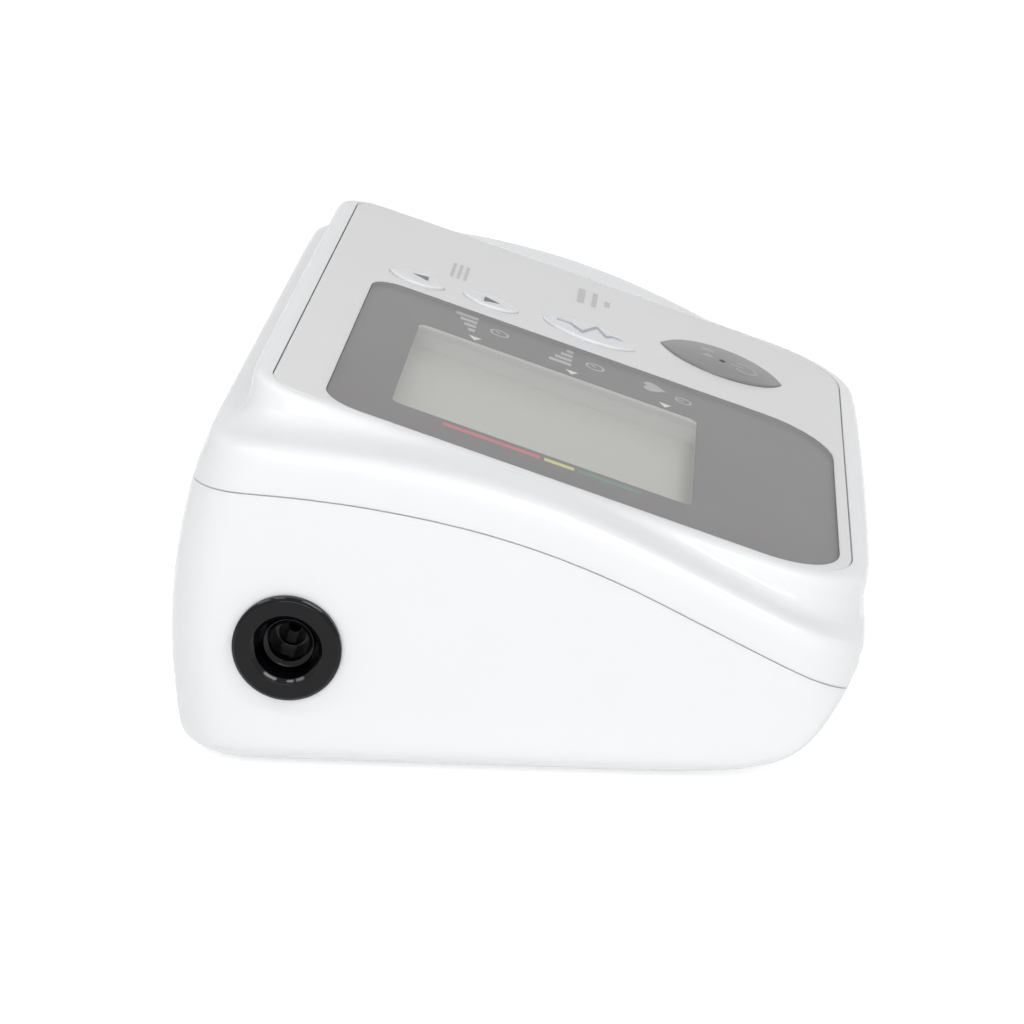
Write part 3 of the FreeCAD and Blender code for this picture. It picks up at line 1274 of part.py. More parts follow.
def make_pump_head():
    body = pump_bar(HEAD_R, HEAD_X)
    hollow = pump_bar(HEAD_R - HEAD_WALL, (HEAD_X[0] + HEAD_WALL, HEAD_X[1] + BITE))
    root = V(HEAD_X[0], PUMP_PORT_Y, PUMP_NOZZLE_Z)
    end = root - X_AXIS * PUMP_NOZZLE_L
    bore = bar(PORT_BORE_R, root + X_AXIS * (HEAD_WALL + BITE), end - X_AXIS)
    return body.cut(hollow).fuse(bar(PORT_R, root + X_AXIS * BITE, end)).cut(bore)


def make_pump_diaphragm():
    disc = pump_bar(HEAD_R - HEAD_WALL - TUBE_FIT, DIAPHRAGM_X)
    cups = []
    for i in range(3):
        angle = math.radians(90.0 + 120.0 * i)
        y = PUMP_Y + CUP_ORBIT_R * math.cos(angle)
        z = PUMP_Z + CUP_ORBIT_R * math.sin(angle)
        cups.append(bar(CUP_R, V(DIAPHRAGM_X[0], y, z), V(DIAPHRAGM_X[1] + CUP_H, y, z)))
    return joined([disc] + cups)


def make_pump_sleeves():
    rings = []
    for outer_r, inner_r, x in ((SLEEVE_R, MOTOR_R, SLEEVE_X), (HEAD_SLEEVE_R, HEAD_R, HEAD_SLEEVE_X)):
        rings.append(pump_bar(outer_r, x).cut(pump_bar(inner_r + TUBE_FIT, x)))
    return Part.makeCompound(rings)


def make_valve_frame():
    frame = block(VALVE_X, VALVE_Y, VALVE_Z)
    inside_y = grown(VALVE_Y, -VALVE_PLATE)
    hollow = block(grown(VALVE_X, BITE), inside_y, (VALVE_Z[0] + VALVE_PLATE, VALVE_Z[1] + BITE))

    def along(radius, y):
        return bar(radius, V(TUBE_X, y[0], SOCKET_Z), V(TUBE_X, y[1], SOCKET_Z))

    plunger_hole = along(VALVE_PLUNGER_R + FIT_GAP, (VALVE_Y[0] - BITE, inside_y[0] + BITE))
    port = along(PORT_R, (VALVE_Y[1] - BITE, VALVE_Y[1] + PORT_L))
    bore = along(PORT_BORE_R, (inside_y[1] - BITE, VALVE_Y[1] + PORT_L + BITE))
    return frame.cut([hollow, plunger_hole]).fuse(port).cut(bore)


def make_valve_coil():
    y = grown(VALVE_Y, -VALVE_PLATE - FIT_GAP)
    start, end = V(TUBE_X, y[0], SOCKET_Z), V(TUBE_X, y[1], SOCKET_Z)
    return tube(COIL_R, COIL_BORE_R, start, end)


def make_valve_plunger():
    start, end = [V(TUBE_X, y, SOCKET_Z) for y in VALVE_PLUNGER_Y]
    knob = bar(VALVE_KNOB_R, start - Y_AXIS * VALVE_KNOB_H, start)
    return joined([bar(VALVE_PLUNGER_R, start, end), knob])


# ---------------------------------------------------------------------------------------
# Power jack
# ---------------------------------------------------------------------------------------

def make_power_jack():
    wall_x = CASE_HALF_W - WALL - FIT_GAP
    face = CASE_HALF_W - JACK_SET_IN
    z = (JACK_Z + JACK_Z_REACH[0], JACK_Z + JACK_Z_REACH[1])
    body = block((CASE_HALF_W - JACK_L, wall_x), grown((JACK_Y, JACK_Y), JACK_HALF_W), z)
    collar = bar(JACK_COLLAR_R, V(wall_x - BITE, JACK_Y, JACK_Z), V(face, JACK_Y, JACK_Z))
    bore = bar(JACK_BORE_R, V(face - JACK_DEPTH, JACK_Y, JACK_Z), V(face + BITE, JACK_Y, JACK_Z))
    return joined([body, collar]).cut(bore)


def make_jack_pin():
    face = CASE_HALF_W - JACK_SET_IN
    root = V(face - JACK_DEPTH, JACK_Y, JACK_Z)
    pin = bar(JACK_PIN_R, root, V(face - JACK_PIN_SHORT, JACK_Y, JACK_Z))
    return pin.makeFillet(JACK_PIN_ROUND, [pin.Edges[0]])


# ---------------------------------------------------------------------------------------
# Writing out
# ---------------------------------------------------------------------------------------

def export(name, shape):
    """Write one piece, lifted so that the feet stand on Z = 0."""
    lifted = shape.copy()
    lifted.translate(V(0, 0, FOOT_H))
    print("%-22s %2d solid(s) %10.1f mm3 %s" % (
        name, len(lifted.Solids), lifted.Volume, "" if lifted.isValid() else "NOT VALID"))
    lifted.exportStep("parts/%s.step" % name)


os.makedirs("parts", exist_ok=True)
outer_skin = skin_solid(0.0, 0.0)
inner_skin = skin_solid(WALL, TOP_WALL)

PIECES = {
    "lower_case": make_lower_case(outer_skin, inner_skin),
    "upper_case": make_upper_case(outer_skin, inner_skin),
    "battery_cover": make_battery_cover(outer_skin),
    "rubber_feet": make_rubber_feet(),
    "case_screws": make_case_screws(),
    "front_panel": make_front_panel(),
    "display_window": make_display_window(),
    "window_mask": make_window_mask(),
    "lcd_glass": make_lcd_glass(),
    "lcd_holder": make_lcd_holder(),
    "lcd_connectors": make_lcd_connectors(),
    "main_board": make_main_board(),
    "board_chips": make_board_chips(),
    "board_screws": make_board_screws(),
    "buzzer": make_buzzer(),
    "pressure_sensor": make_pressure_sensor(),
    "tact_switches": make_tact_switches(),
    "battery_cells": make_battery_cells(),
    "button_contacts": make_button_contacts(),
    "spring_contacts": make_spring_contacts(),
    "air_socket": make_air_socket(),
    "socket_nut": make_socket_nut(),
    "socket_tube": make_socket_tube(),
    "air_manifold": make_air_manifold(),
    "pump_tube": make_pump_tube(),
    "sensor_tube": make_sensor_tube(),
    "valve_tube": make_valve_tube(),
    "pump_motor": make_pump_motor(),
    "motor_end_cap": make_motor_end_cap(),
    "motor_magnets": make_motor_magnets(),
    "motor_rotor": make_motor_rotor(),
    "pump_head": make_pump_head(),
    "pump_diaphragm": make_pump_diaphragm(),
    "pump_sleeves": make_pump_sleeves(),
    "valve_frame": make_valve_frame(),
    "valve_coil": make_valve_coil(),
    "valve_plunger": make_valve_plunger(),
    "power_jack": make_power_jack(),
    "jack_pin": make_jack_pin(),
}
for button_name in BUTTONS:
    PIECES["%s_button" % button_name] = make_button(button_name)
    PIECES["%s_switch_plunger" % button_name] = make_switch_plunger(button_name)
for piece_name, piece_shape in PIECES.items():
    export(piece_name, piece_shape)
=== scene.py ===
# %% [markdown]
# # An upper-arm blood pressure monitor, dressed for its portrait
#
# The monitor is a white wedge of moulded plastic with a sloping control panel. Its solids
# come from a CAD model, and this script gives them their finishes, prints the marks on the
# panel, and sets up the studio. Everything is in metres, in the CAD model's own frame:
# +X is the monitor's right, +Y its back, +Z up, and it stands on Z = 0.

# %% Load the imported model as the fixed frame
import bpy
import bmesh
import json
import math
from mathutils import Matrix, Vector
from mathutils.bvhtree import BVHTree
from mathutils.geometry import tessellate_polygon


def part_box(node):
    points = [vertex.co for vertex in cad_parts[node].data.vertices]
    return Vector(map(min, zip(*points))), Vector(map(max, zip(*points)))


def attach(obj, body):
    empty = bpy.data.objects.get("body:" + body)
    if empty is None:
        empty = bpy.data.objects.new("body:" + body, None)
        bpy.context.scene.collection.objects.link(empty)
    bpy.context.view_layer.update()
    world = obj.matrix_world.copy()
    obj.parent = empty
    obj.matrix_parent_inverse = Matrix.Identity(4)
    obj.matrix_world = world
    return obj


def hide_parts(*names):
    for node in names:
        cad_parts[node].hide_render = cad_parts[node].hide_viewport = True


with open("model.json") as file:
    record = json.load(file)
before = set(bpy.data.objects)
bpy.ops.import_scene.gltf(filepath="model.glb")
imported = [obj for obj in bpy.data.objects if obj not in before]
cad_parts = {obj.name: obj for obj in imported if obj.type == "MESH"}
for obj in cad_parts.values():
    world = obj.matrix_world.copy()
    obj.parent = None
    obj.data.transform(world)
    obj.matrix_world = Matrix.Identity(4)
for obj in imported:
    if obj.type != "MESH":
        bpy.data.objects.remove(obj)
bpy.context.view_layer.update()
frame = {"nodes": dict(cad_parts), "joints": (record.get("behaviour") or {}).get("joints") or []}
nodes = frame["nodes"]
MM = 0.001
print("pieces in the frame:", len(nodes))

# %% [markdown]
# ## The camera
#
# The portrait is taken from the monitor's left, a little above it, with a long lens. A long
# lens from far away keeps the case's edges nearly parallel, as in a catalogue. The camera's
# place and its three axes are written out, because a camera that is only aimed at a point
# stands upright, and this one is rolled by a hair.

# %% Place the camera
CAMERA_PLACE = Vector((-518.24, -31.95, 196.29)) * MM
CAMERA_RIGHT = Vector((0.07245, -0.99736, 0.00455))
CAMERA_UP = Vector((0.32240, 0.02773, 0.94620))
CAMERA_BACK = Vector((-0.94383, -0.06708, 0.32356))
LENS_MM = 114.96
SENSOR_MM = 36.0

camera = bpy.data.objects.new("camera", bpy.data.cameras.new("camera"))
bpy.context.scene.collection.objects.link(camera)
turn = Matrix((CAMERA_RIGHT, CAMERA_UP, CAMERA_BACK)).transposed().to_4x4()
camera.matrix_world = Matrix.Translation(CAMERA_PLACE) @ turn
camera.data.lens = LENS_MM
camera.data.sensor_width = SENSOR_MM
camera.data.clip_start = 10 * MM
bpy.context.scene.camera = camera
bpy.context.scene.view_settings.view_transform = "Standard"
print("camera", [round(c, 3) for c in camera.location], "lens", camera.data.lens)

# %% [markdown]
# ## Places on the sloping panel
#
# Everything that is printed on the panel lies in its plane, so it is easiest to say where in
# three panel measures: x to the right, s up the slope, and n out of the face. The START
# button's joint already holds the direction into the panel, and the plate's highest points
# along that direction say where its face is. So the marks stay on the panel even if the CAD
# model's slope changes.

# %% A helper that turns panel measures into places
press = next(joint for joint in frame["joints"] if joint["name"] == "start_press")
INTO_PANEL = Vector(press["axis"]).normalized()
OUT_OF_PANEL = -INTO_PANEL
RIGHTWARD = Vector((1.0, 0.0, 0.0))
UP_SLOPE = OUT_OF_PANEL.cross(RIGHTWARD)
face_reach = max(OUT_OF_PANEL.dot(vertex.co) for vertex in nodes["front_panel"].data.vertices)
PANEL_ORIGIN = Vector((0.0, 0.0, face_reach / OUT_OF_PANEL.z))


def on_panel(x, s, n=0.0):
    """The place that is x mm right, s mm up the slope and n mm out of the panel's face."""
    return PANEL_ORIGIN + MM * (x * RIGHTWARD + s * UP_SLOPE + n * OUT_OF_PANEL)


def panel_span(node):
    """The least and greatest x, s and n of a CAD piece, in mm."""
    spans = []
    for axis in (RIGHTWARD, UP_SLOPE, OUT_OF_PANEL):
        reach = [axis.dot(vertex.co - PANEL_ORIGIN) / MM for vertex in nodes[node].data.vertices]
        spans.append((min(reach), max(reach)))
    return spans


print("panel pitch in degrees:", round(math.degrees(math.acos(OUT_OF_PANEL.z)), 2))

# %% [markdown]
# ## Materials as small node trees
#
# Moulded plastic looks real when its surface isn't quite even: the mould leaves a fine
# grain, and the gloss changes a little over a finger's width. Both come from noise textures
# that are driven by the object's own coordinates, so they stay put when the piece moves.

# %% Small helpers for node trees
def new_material(name):
    """A material with a Principled shader, its node tree and that shader."""
    material = bpy.data.materials.new(name)
    material.use_nodes = True
    tree = material.node_tree
    return material, tree, tree.nodes["Principled BSDF"]


def noise_at(tree, scale, detail=2.0):
    """Noise in the piece's own coordinates. scale is in cells to the metre."""
    place = tree.nodes.new("ShaderNodeTexCoord")
    noise = tree.nodes.new("ShaderNodeTexNoise")
    noise.inputs["Scale"].default_value = scale
    noise.inputs["Detail"].default_value = detail
    tree.links.new(place.outputs["Object"], noise.inputs["Vector"])
    return noise.outputs["Fac"]


NOISE_SPAN = (0.3, 0.7)   # most of the noise lies between these


def between(tree, noise, low, high):
    """A value that runs from low to high as the noise goes through its span."""
    spread = tree.nodes.new("ShaderNodeMapRange")
    spread.inputs["From Min"].default_value = NOISE_SPAN[0]
    spread.inputs["From Max"].default_value = NOISE_SPAN[1]
    spread.inputs["To Min"].default_value = low
    spread.inputs["To Max"].default_value = high
    tree.links.new(noise, spread.inputs["Value"])
    return spread.outputs["Result"]


def mix_colours(tree, factor, first, second):
    """The first colour where the factor is 0 and the second where it is 1."""
    mix = tree.nodes.new("ShaderNodeMix")
    mix.data_type = "RGBA"
    mix.inputs["A"].default_value = (*first, 1.0)
    mix.inputs["B"].default_value = (*second, 1.0)
    tree.links.new(factor, mix.inputs["Factor"])
    return mix.outputs["Result"]


def maths(tree, operation, first, second, clamp=False):
    """What a Math node makes of two values. Each is a node's output or a plain number."""
    node = tree.nodes.new("ShaderNodeMath")
    node.operation = operation
    node.use_clamp = clamp
    for entry, value in zip(node.inputs, (first, second)):
        if isinstance(value, float):
            entry.default_value = value
        else:
            tree.links.new(value, entry)
    return node.outputs["Value"]


def add_grain(tree, shader, scale, height_mm, detail=3.0):
    """A bump of this height, from noise of this scale."""
    bump = tree.nodes.new("ShaderNodeBump")
    bump.inputs["Strength"].default_value = 1.0
    bump.inputs["Distance"].default_value = height_mm * MM
    tree.links.new(noise_at(tree, scale, detail), bump.inputs["Height"])
    tree.links.new(bump.outputs["Normal"], shader.inputs["Normal"])


# %% [markdown]
# One recipe makes every moulded finish. Its arguments are what a moulder would name: the
# colour, how rough the mould's surface is, and the size and height of its grain. A finish
# could be a picture wrapped round the piece as well, but noise has no seams.

# %% The recipe for moulded plastic
BROAD_PATCHES = 35.0      # patches to the metre, in which the colour drifts
GLOSS_PATCHES = 60.0      # and in which the gloss does


def moulded_plastic(
    name, colour, roughness, grain_mm=0.4, grain_height_mm=0.002, shade=0.02, gloss_change=0.04
):
    """Plastic as it comes out of a mould. shade and gloss_change say how uneven it is."""
    material, tree, shader = new_material(name)
    darker = tuple(part * (1.0 - shade) for part in colour)
    broad = noise_at(tree, BROAD_PATCHES, 1.0)
    tree.links.new(mix_colours(tree, broad, colour, darker), shader.inputs["Base Color"])
    gloss = noise_at(tree, GLOSS_PATCHES, 2.0)
    uneven = between(tree, gloss, roughness - gloss_change, roughness + gloss_change)
    tree.links.new(uneven, shader.inputs["Roughness"])
    add_grain(tree, shader, 1.0 / (grain_mm * MM), grain_height_mm)
    return material


def wear(node_names, material):
    """Give these CAD pieces one finish."""
    for name in node_names:
        mesh = nodes[name].data
        mesh.materials.clear()
        mesh.materials.append(material)
    print("finish:", material.name, "->", ", ".join(node_names))


# %% [markdown]
# ## The white case and the panel
#
# The case is glossy white plastic. The panel plate is a separate moulding with a satin face,
# and so a shade greyer at a slant. The START button is grey, and the other three are white and
# glossier than the plate they stand in. One white for all would be simpler, but side by side
# the three finishes differ.

# %% Case, panel and button finishes
case_white = moulded_plastic(
    "case white", (0.86, 0.87, 0.885), roughness=0.2,
    grain_mm=0.5, grain_height_mm=0.0012, shade=0.01, gloss_change=0.03,
)
wear(["lower_case", "upper_case", "battery_cover"], case_white)
panel_white = moulded_plastic(
    "panel white", (0.80, 0.80, 0.805), roughness=0.38,
    grain_mm=0.25, grain_height_mm=0.002, shade=0.012, gloss_change=0.03,
)
wear(["front_panel"], panel_white)
button_white = moulded_plastic(
    "button white", (0.78, 0.785, 0.80), roughness=0.26, grain_mm=0.3, grain_height_mm=0.0015, shade=0.01
)
wear(["mode_button", "memory_up_button", "memory_down_button"], button_white)
start_grey = moulded_plastic(
    "start grey", (0.23, 0.222, 0.227), roughness=0.34, grain_mm=0.3, grain_height_mm=0.0015, shade=0.04
)
wear(["start_button"], start_grey)

# %% [markdown]
# Light goes a little way into white plastic, spreads, and comes out again beside the place
# where it went in. That is why a narrow gap between two white mouldings is grey and not
# black. Subsurface scattering does this. It costs time, so only the white pieces in sight
# have it. Grey and black plastic soak such light up and don't need it.

# %% Let light into the white plastics
LIGHT_DEPTH = 0.8 * MM    # how far light spreads inside them
LIGHT_SHARE = 0.6         # how much of the light takes that way


def let_light_in(material):
    """Let light go a little way into this plastic."""
    shader = material.node_tree.nodes["Principled BSDF"]
    shader.inputs["Subsurface Weight"].default_value = LIGHT_SHARE
    shader.inputs["Subsurface Radius"].default_value = (1.0, 1.0, 1.0)
    shader.inputs["Subsurface Scale"].default_value = LIGHT_DEPTH
    print("light goes into:", material.name)


for white in (case_white, panel_white, button_white):
    let_light_in(white)

# %% [markdown]
# ## The window
#
# Over the display lies a clear cover. A clear sheet shows what is behind it and mirrors the
# room at a slant, so it is a mix of a see-through and a mirror shader. The Fresnel node does
# the mixing: it gives the share of light that the sheet mirrors at each angle. The cover is a
# solid with a top and a bottom face, and one mirror is enough, so the share is taken off
# where a ray meets a face from its back.

# %% A clear sheet
def clear_sheet(name, ior, tint, roughness):
    """A clear sheet. tint is what it lets through, and ior says how strongly it mirrors."""
    material, tree, shader = new_material(name)
    tree.nodes.remove(shader)
    see_through = tree.nodes.new("ShaderNodeBsdfTransparent")
    see_through.inputs["Color"].default_value = (*tint, 1.0)
    mirror = tree.nodes.new("ShaderNodeBsdfGlossy")
    smudges = noise_at(tree, GLOSS_PATCHES, 3.0)
    tree.links.new(between(tree, smudges, roughness * 0.7, roughness * 1.3), mirror.inputs["Roughness"])
    fresnel = tree.nodes.new("ShaderNodeFresnel")
    fresnel.inputs["IOR"].default_value = ior
    facing = tree.nodes.new("ShaderNodeNewGeometry")
    mirrored = maths(tree, "SUBTRACT", fresnel.outputs["Fac"], facing.outputs["Backfacing"], clamp=True)
    mix = tree.nodes.new("ShaderNodeMixShader")
    tree.links.new(mirrored, mix.inputs["Fac"])
    tree.links.new(see_through.outputs["BSDF"], mix.inputs[1])
    tree.links.new(mirror.outputs["BSDF"], mix.inputs[2])
    tree.links.new(mix.outputs["Shader"], tree.nodes["Material Output"].inputs["Surface"])
    return material


window_clear = clear_sheet("window clear", ior=1.49, tint=(0.985, 0.985, 0.985), roughness=0.05)
wear(["display_window"], window_clear)

# %% [markdown]
# ## Flat pieces from outlines
#
# The mask behind the window and every printed mark are flat pieces: an outline with a little
# thickness. First come the helpers that draw an outline, as a list of places on the panel.

# %% Helpers that draw outlines
SHARPEST_MITRE = 0.4      # a line's corner reaches out no further than its half width over this


def circle(x, s, radius, count=32):
    """Places round a circle."""
    turns = [2 * math.pi * step / count for step in range(count)]
    return [(x + radius * math.cos(turn), s + radius * math.sin(turn)) for turn in turns]


def rounded_rectangle(x_span, s_span, radii, steps=8):
    """radii are those of the corners at the front right, back right, back left and front left."""
    corners = ((1, 0, -90.0), (1, 1, 0.0), (0, 1, 90.0), (0, 0, 180.0))
    points = []
    for (right, back, first), radius in zip(corners, radii):
        centre_x = x_span[right] - radius * (2 * right - 1)
        centre_s = s_span[back] - radius * (2 * back - 1)
        for step in range(steps + 1):
            angle = math.radians(first + 90.0 * step / steps)
            points.append((centre_x + radius * math.cos(angle), centre_s + radius * math.sin(angle)))
    return points


def stroke(points, width):
    """The outline of a line of this width through these points, with mitred corners."""
    sides = ([], [])
    for index, point in enumerate(points):
        here = Vector(point)
        before = Vector(points[max(index - 1, 0)])
        after = Vector(points[min(index + 1, len(points) - 1)])
        ways = [way.normalized() for way in (here - before, after - here) if way.length > 0]
        along = sum(ways, Vector((0.0, 0.0))).normalized()
        reach = (width / 2) / max(along.dot(ways[0]), SHARPEST_MITRE)
        across = Vector((-along.y, along.x)) * reach
        sides[0].append(tuple(here + across))
        sides[1].append(tuple(here - across))
    return sides[0] + sides[1][::-1]


def in_steps(points, step=0.8):
    """The same line with more points on it, so that it can follow a crowned face."""
    fine = []
    for first, last in zip(points, points[1:]):
        first, last = Vector(first), Vector(last)
        count = max(1, math.ceil((last - first).length / step))
        fine += [tuple(first.lerp(last, part / count)) for part in range(count)]
    return fine + [tuple(points[-1])]


def loop_in_steps(points):
    """The same closed outline with more points on it."""
    return in_steps([*points, points[0]])[:-1]


# %% [markdown]
# `tessellate_polygon` fills closed outlines with triangles and leaves a hole where one
# outline lies inside another. A flat piece gets the same triangles twice, at its top and its
# bottom, and a wall along each outline. A curve object with a little extrusion could do it
# too, but a mesh can be laid on a crowned button point by point.

# %% A flat piece that fills outlines
def flat_piece(name, outlines, low, high, material, body, slot, place=on_panel):
    """A piece that fills the outlines between two heights over the panel, on this body."""
    points = [point for outline in outlines for point in outline]
    filled = tessellate_polygon([[Vector((x, s, 0.0)) for x, s in outline] for outline in outlines])
    mesh = bpy.data.meshes.new(name)
    piece_of = bmesh.new()
    top = [piece_of.verts.new(place(x, s, high)) for x, s in points]
    bottom = [piece_of.verts.new(place(x, s, low)) for x, s in points]
    for corners in filled:
        piece_of.faces.new([top[corner] for corner in corners])
        piece_of.faces.new([bottom[corner] for corner in reversed(corners)])
    start = 0
    for outline in outlines:
        ring = range(start, start + len(outline))
        for here in ring:
            after = here + 1 if here + 1 < start + len(outline) else start
            piece_of.faces.new((top[here], bottom[here], bottom[after], top[after]))
        start += len(outline)
    bmesh.ops.recalc_face_normals(piece_of, faces=piece_of.faces)
    piece_of.to_mesh(mesh)
    piece_of.free()
    mesh.materials.append(material)
    piece = bpy.data.objects.new(name, mesh)
    bpy.context.scene.collection.objects.link(piece)
    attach(piece, body)
    return piece


# %% [markdown]
# ## The mask behind the window
#
# The dark surround of the display is a thin printed sheet under the cover. It keeps the CAD
# mask's outline, and its opening sits a little further right than the CAD one. A hole can be
# cut anew with a Boolean too, but a flat sheet is simpler to fill from its two outlines.

# %% The mask
MASK_CORNERS = (12.1, 5.4, 5.4, 12.1)                # radii, in the order of rounded_rectangle
HOLDER_RIM = 4.9          # how far the display's holder reaches past the display's opening
OPENING_SHIFT = 2.3       # how far right of the CAD opening this one is
OPENING_R = 1.5
INK = 0.02                # thickness of a print

mask_x, mask_s, mask_n = panel_span("window_mask")
holder_x, holder_s, holder_n = panel_span("lcd_holder")
opening_x = [edge + OPENING_SHIFT for edge in (holder_x[0] + HOLDER_RIM, holder_x[1] - HOLDER_RIM)]
opening_s = [holder_s[0] + HOLDER_RIM, holder_s[1] - HOLDER_RIM]
MASK_TOP = mask_n[1] - INK
mask_grey = moulded_plastic(
    "mask grey", (0.125, 0.115, 0.122), roughness=0.6, grain_mm=0.2, grain_height_mm=0.0008, shade=0.05
)
mask_outlines = [
    rounded_rectangle(mask_x, mask_s, MASK_CORNERS),
    rounded_rectangle(opening_x, opening_s, (OPENING_R,) * 4),
]
mask = flat_piece("printed_mask", mask_outlines, mask_n[0], MASK_TOP, mask_grey, "case", "mask_grey")
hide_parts("window_mask")
print("display opening in mm:", [round(edge, 1) for edge in (*opening_x, *opening_s)])

# %% [markdown]
# The cover's cut edge is printed too, or the white plate would shine through it all round.
# That print is a thin band in the gap between the cover and its recess.

# %% The printed edge of the cover
EDGE_GAP = (0.01, 0.07)   # the band's inside and outside, out from the mask's outline
EDGE_TOP = -0.1           # how high it reaches, which is just short of the panel's face


def grown(span, by):
    """This span, longer by so much at both ends."""
    return (span[0] - by, span[1] + by)


edge_outlines = [
    rounded_rectangle(grown(mask_x, by), grown(mask_s, by), [radius + by for radius in MASK_CORNERS])
    for by in reversed(EDGE_GAP)
]
flat_piece("window_edge_print", edge_outlines, mask_n[0], EDGE_TOP, mask_grey, "case", "mask_grey")
print("edge print: n from", round(mask_n[0], 2), "to", EDGE_TOP, "mm")

# %% [markdown]
# The display lies at the bottom of a well in the white plate. Along its right side the mask's
# opening is wider than the well, so a grey border strip covers the plate there. A thin grey
# sheet on the well's white wall is painted shade: it darkens the wall as the shade in the well
# would. The strip's outline is the right half of the mask's opening and, on the way back, the
# right half of the well.

# %% The border strip and the painted shade on the well's wall
WELL_GROW = 0.8           # the well is this much wider than the CAD opening, on each side
BORDER_T = 0.05
border_grey = moulded_plastic("border grey", (0.51, 0.51, 0.50), 0.5, grain_mm=0.3, grain_height_mm=0.001)
# painted shade: a grey for the well's white wall, which stands in for the shade down the well
well_shade_grey = moulded_plastic("well shade grey", (0.43, 0.43, 0.42), 0.5, grain_mm=0.3, grain_height_mm=0.001)

well_x = grown([edge - OPENING_SHIFT for edge in opening_x], WELL_GROW)
well_r = OPENING_R + WELL_GROW
well = rounded_rectangle(well_x, grown(opening_s, WELL_GROW), (well_r,) * 4)
right_half = slice(len(well) // 2)
inner = [(x, s) for x, s in well[right_half] if opening_s[0] < s < opening_s[1]]
outer = [(x, s) for x, s in mask_outlines[1][right_half] if x > inner[0][0]]
border_n = (mask_n[0], mask_n[0] + BORDER_T)
flat_piece("display_border", [outer + inner[::-1]], *border_n, border_grey, "case", "holder_grey")
# the painted shade: a thin grey band over the well's white wall, from the holder up to the mask
well_shade_outlines = [
    rounded_rectangle(grown(well_x, -by), grown(opening_s, WELL_GROW - by), (well_r - by,) * 4)
    for by in EDGE_GAP
]
well_shade_n = (holder_n[1] + INK, mask_n[0] - INK)
flat_piece("well_painted_shade", well_shade_outlines, *well_shade_n, well_shade_grey, "case", "holder_grey")
print("well painted shade: n from", round(well_shade_n[0], 2), "to", round(well_shade_n[1], 2), "mm")

# %% [markdown]
# ## The display
#
# With nothing on it, a liquid crystal display is a pale grey-green film under glass, with the
# faint grid of its dots. The Brick Texture node draws such a grid when its rows don't stagger,
# and two crossed wave textures could do it too. The holder round the display is grey plastic,
# so that its walls don't glare.

# %% Display film and holder
LINE_SHARE = 0.06         # width of the line between two dots, as a share of a dot


def display_film(name, colour, dot_mm, dot_shade):
    """Pale film with a faint grid of square dots of this size."""
    material, tree, shader = new_material(name)
    lines = tree.nodes.new("ShaderNodeTexBrick")
    lines.offset = 0.0
    lines.inputs["Color1"].default_value = (*colour, 1.0)
    lines.inputs["Color2"].default_value = (*(part * (1.0 - dot_shade / 2) for part in colour), 1.0)
    lines.inputs["Mortar"].default_value = (*(part * (1.0 - dot_shade) for part in colour), 1.0)
    lines.inputs["Scale"].default_value = 1.0 / MM
    lines.inputs["Brick Width"].default_value = dot_mm
    lines.inputs["Row Height"].default_value = dot_mm
    lines.inputs["Mortar Size"].default_value = dot_mm * LINE_SHARE
    place = tree.nodes.new("ShaderNodeTexCoord")
    tree.links.new(place.outputs["Object"], lines.inputs["Vector"])
    tree.links.new(lines.outputs["Color"], shader.inputs["Base Color"])
    tree.links.new(between(tree, noise_at(tree, GLOSS_PATCHES), 0.38, 0.48), shader.inputs["Roughness"])
    add_grain(tree, shader, 6000.0, 0.0006)
    return material


wear(["lcd_glass"], display_film("display film", (0.54, 0.545, 0.50), dot_mm=1.2, dot_shade=0.025))
holder_grey = moulded_plastic("holder grey", (0.47, 0.475, 0.46), 0.45, grain_mm=0.3)
wear(["lcd_holder"], holder_grey)

# %% [markdown]
# ## Marks under the window
#
# A bar in red, yellow and green beside the display says how high a reading is. On the other
# side, three small pointers show which row is which: rising bars for the upper pressure,
# falling bars for the lower one and a heart for the pulse. Beside them stand a gauge twice
# and a clock. They are signs and not words, so anyone can read them. An ink is a matt film
# with hardly any grain, and the recipe for plastic makes that too.

# %% Inks
def ink(name, colour):
    """A matt printing ink."""
    return moulded_plastic(name, colour, 0.5, grain_mm=0.15, grain_height_mm=0.0006, shade=0.05)


pale_ink = ink("pale ink", (0.40, 0.395, 0.40))
bright_ink = ink("bright ink", (0.72, 0.72, 0.71))
plate_ink = ink("plate ink", (0.60, 0.60, 0.605))
dark_ink = ink("dark ink", (0.17, 0.17, 0.18))
blue_ink = ink("blue ink", (0.40, 0.43, 0.53))
black_ink = ink("black ink", (0.012, 0.012, 0.013))
red_ink = ink("red ink", (0.50, 0.055, 0.065))
yellow_ink = ink("yellow ink", (0.60, 0.56, 0.16))
green_ink = ink("green ink", (0.045, 0.17, 0.115))
print("inks:", len([material for material in bpy.data.materials if material.name.endswith(" ink")]))

# %% [markdown]
# The scale is three plain bars on one line, and each pointer is a triangle. One long bar with
# a colour ramp would do too, but then the gaps between the colours need a material of their
# own, and bars have them for nothing.

# %% The pressure scale and the pointers
def under_window(name, outlines, material):
    """Print a mark on the mask, right under the clear cover."""
    flat_piece(name, outlines, MASK_TOP, mask_n[1], material, "case", "mask_grey")


def bar(x_span, s_span):
    """The four corners of a bar that fills these spans."""
    (left, right), (foot, top) = x_span, s_span
    return [(left, foot), (right, foot), (right, top), (left, top)]


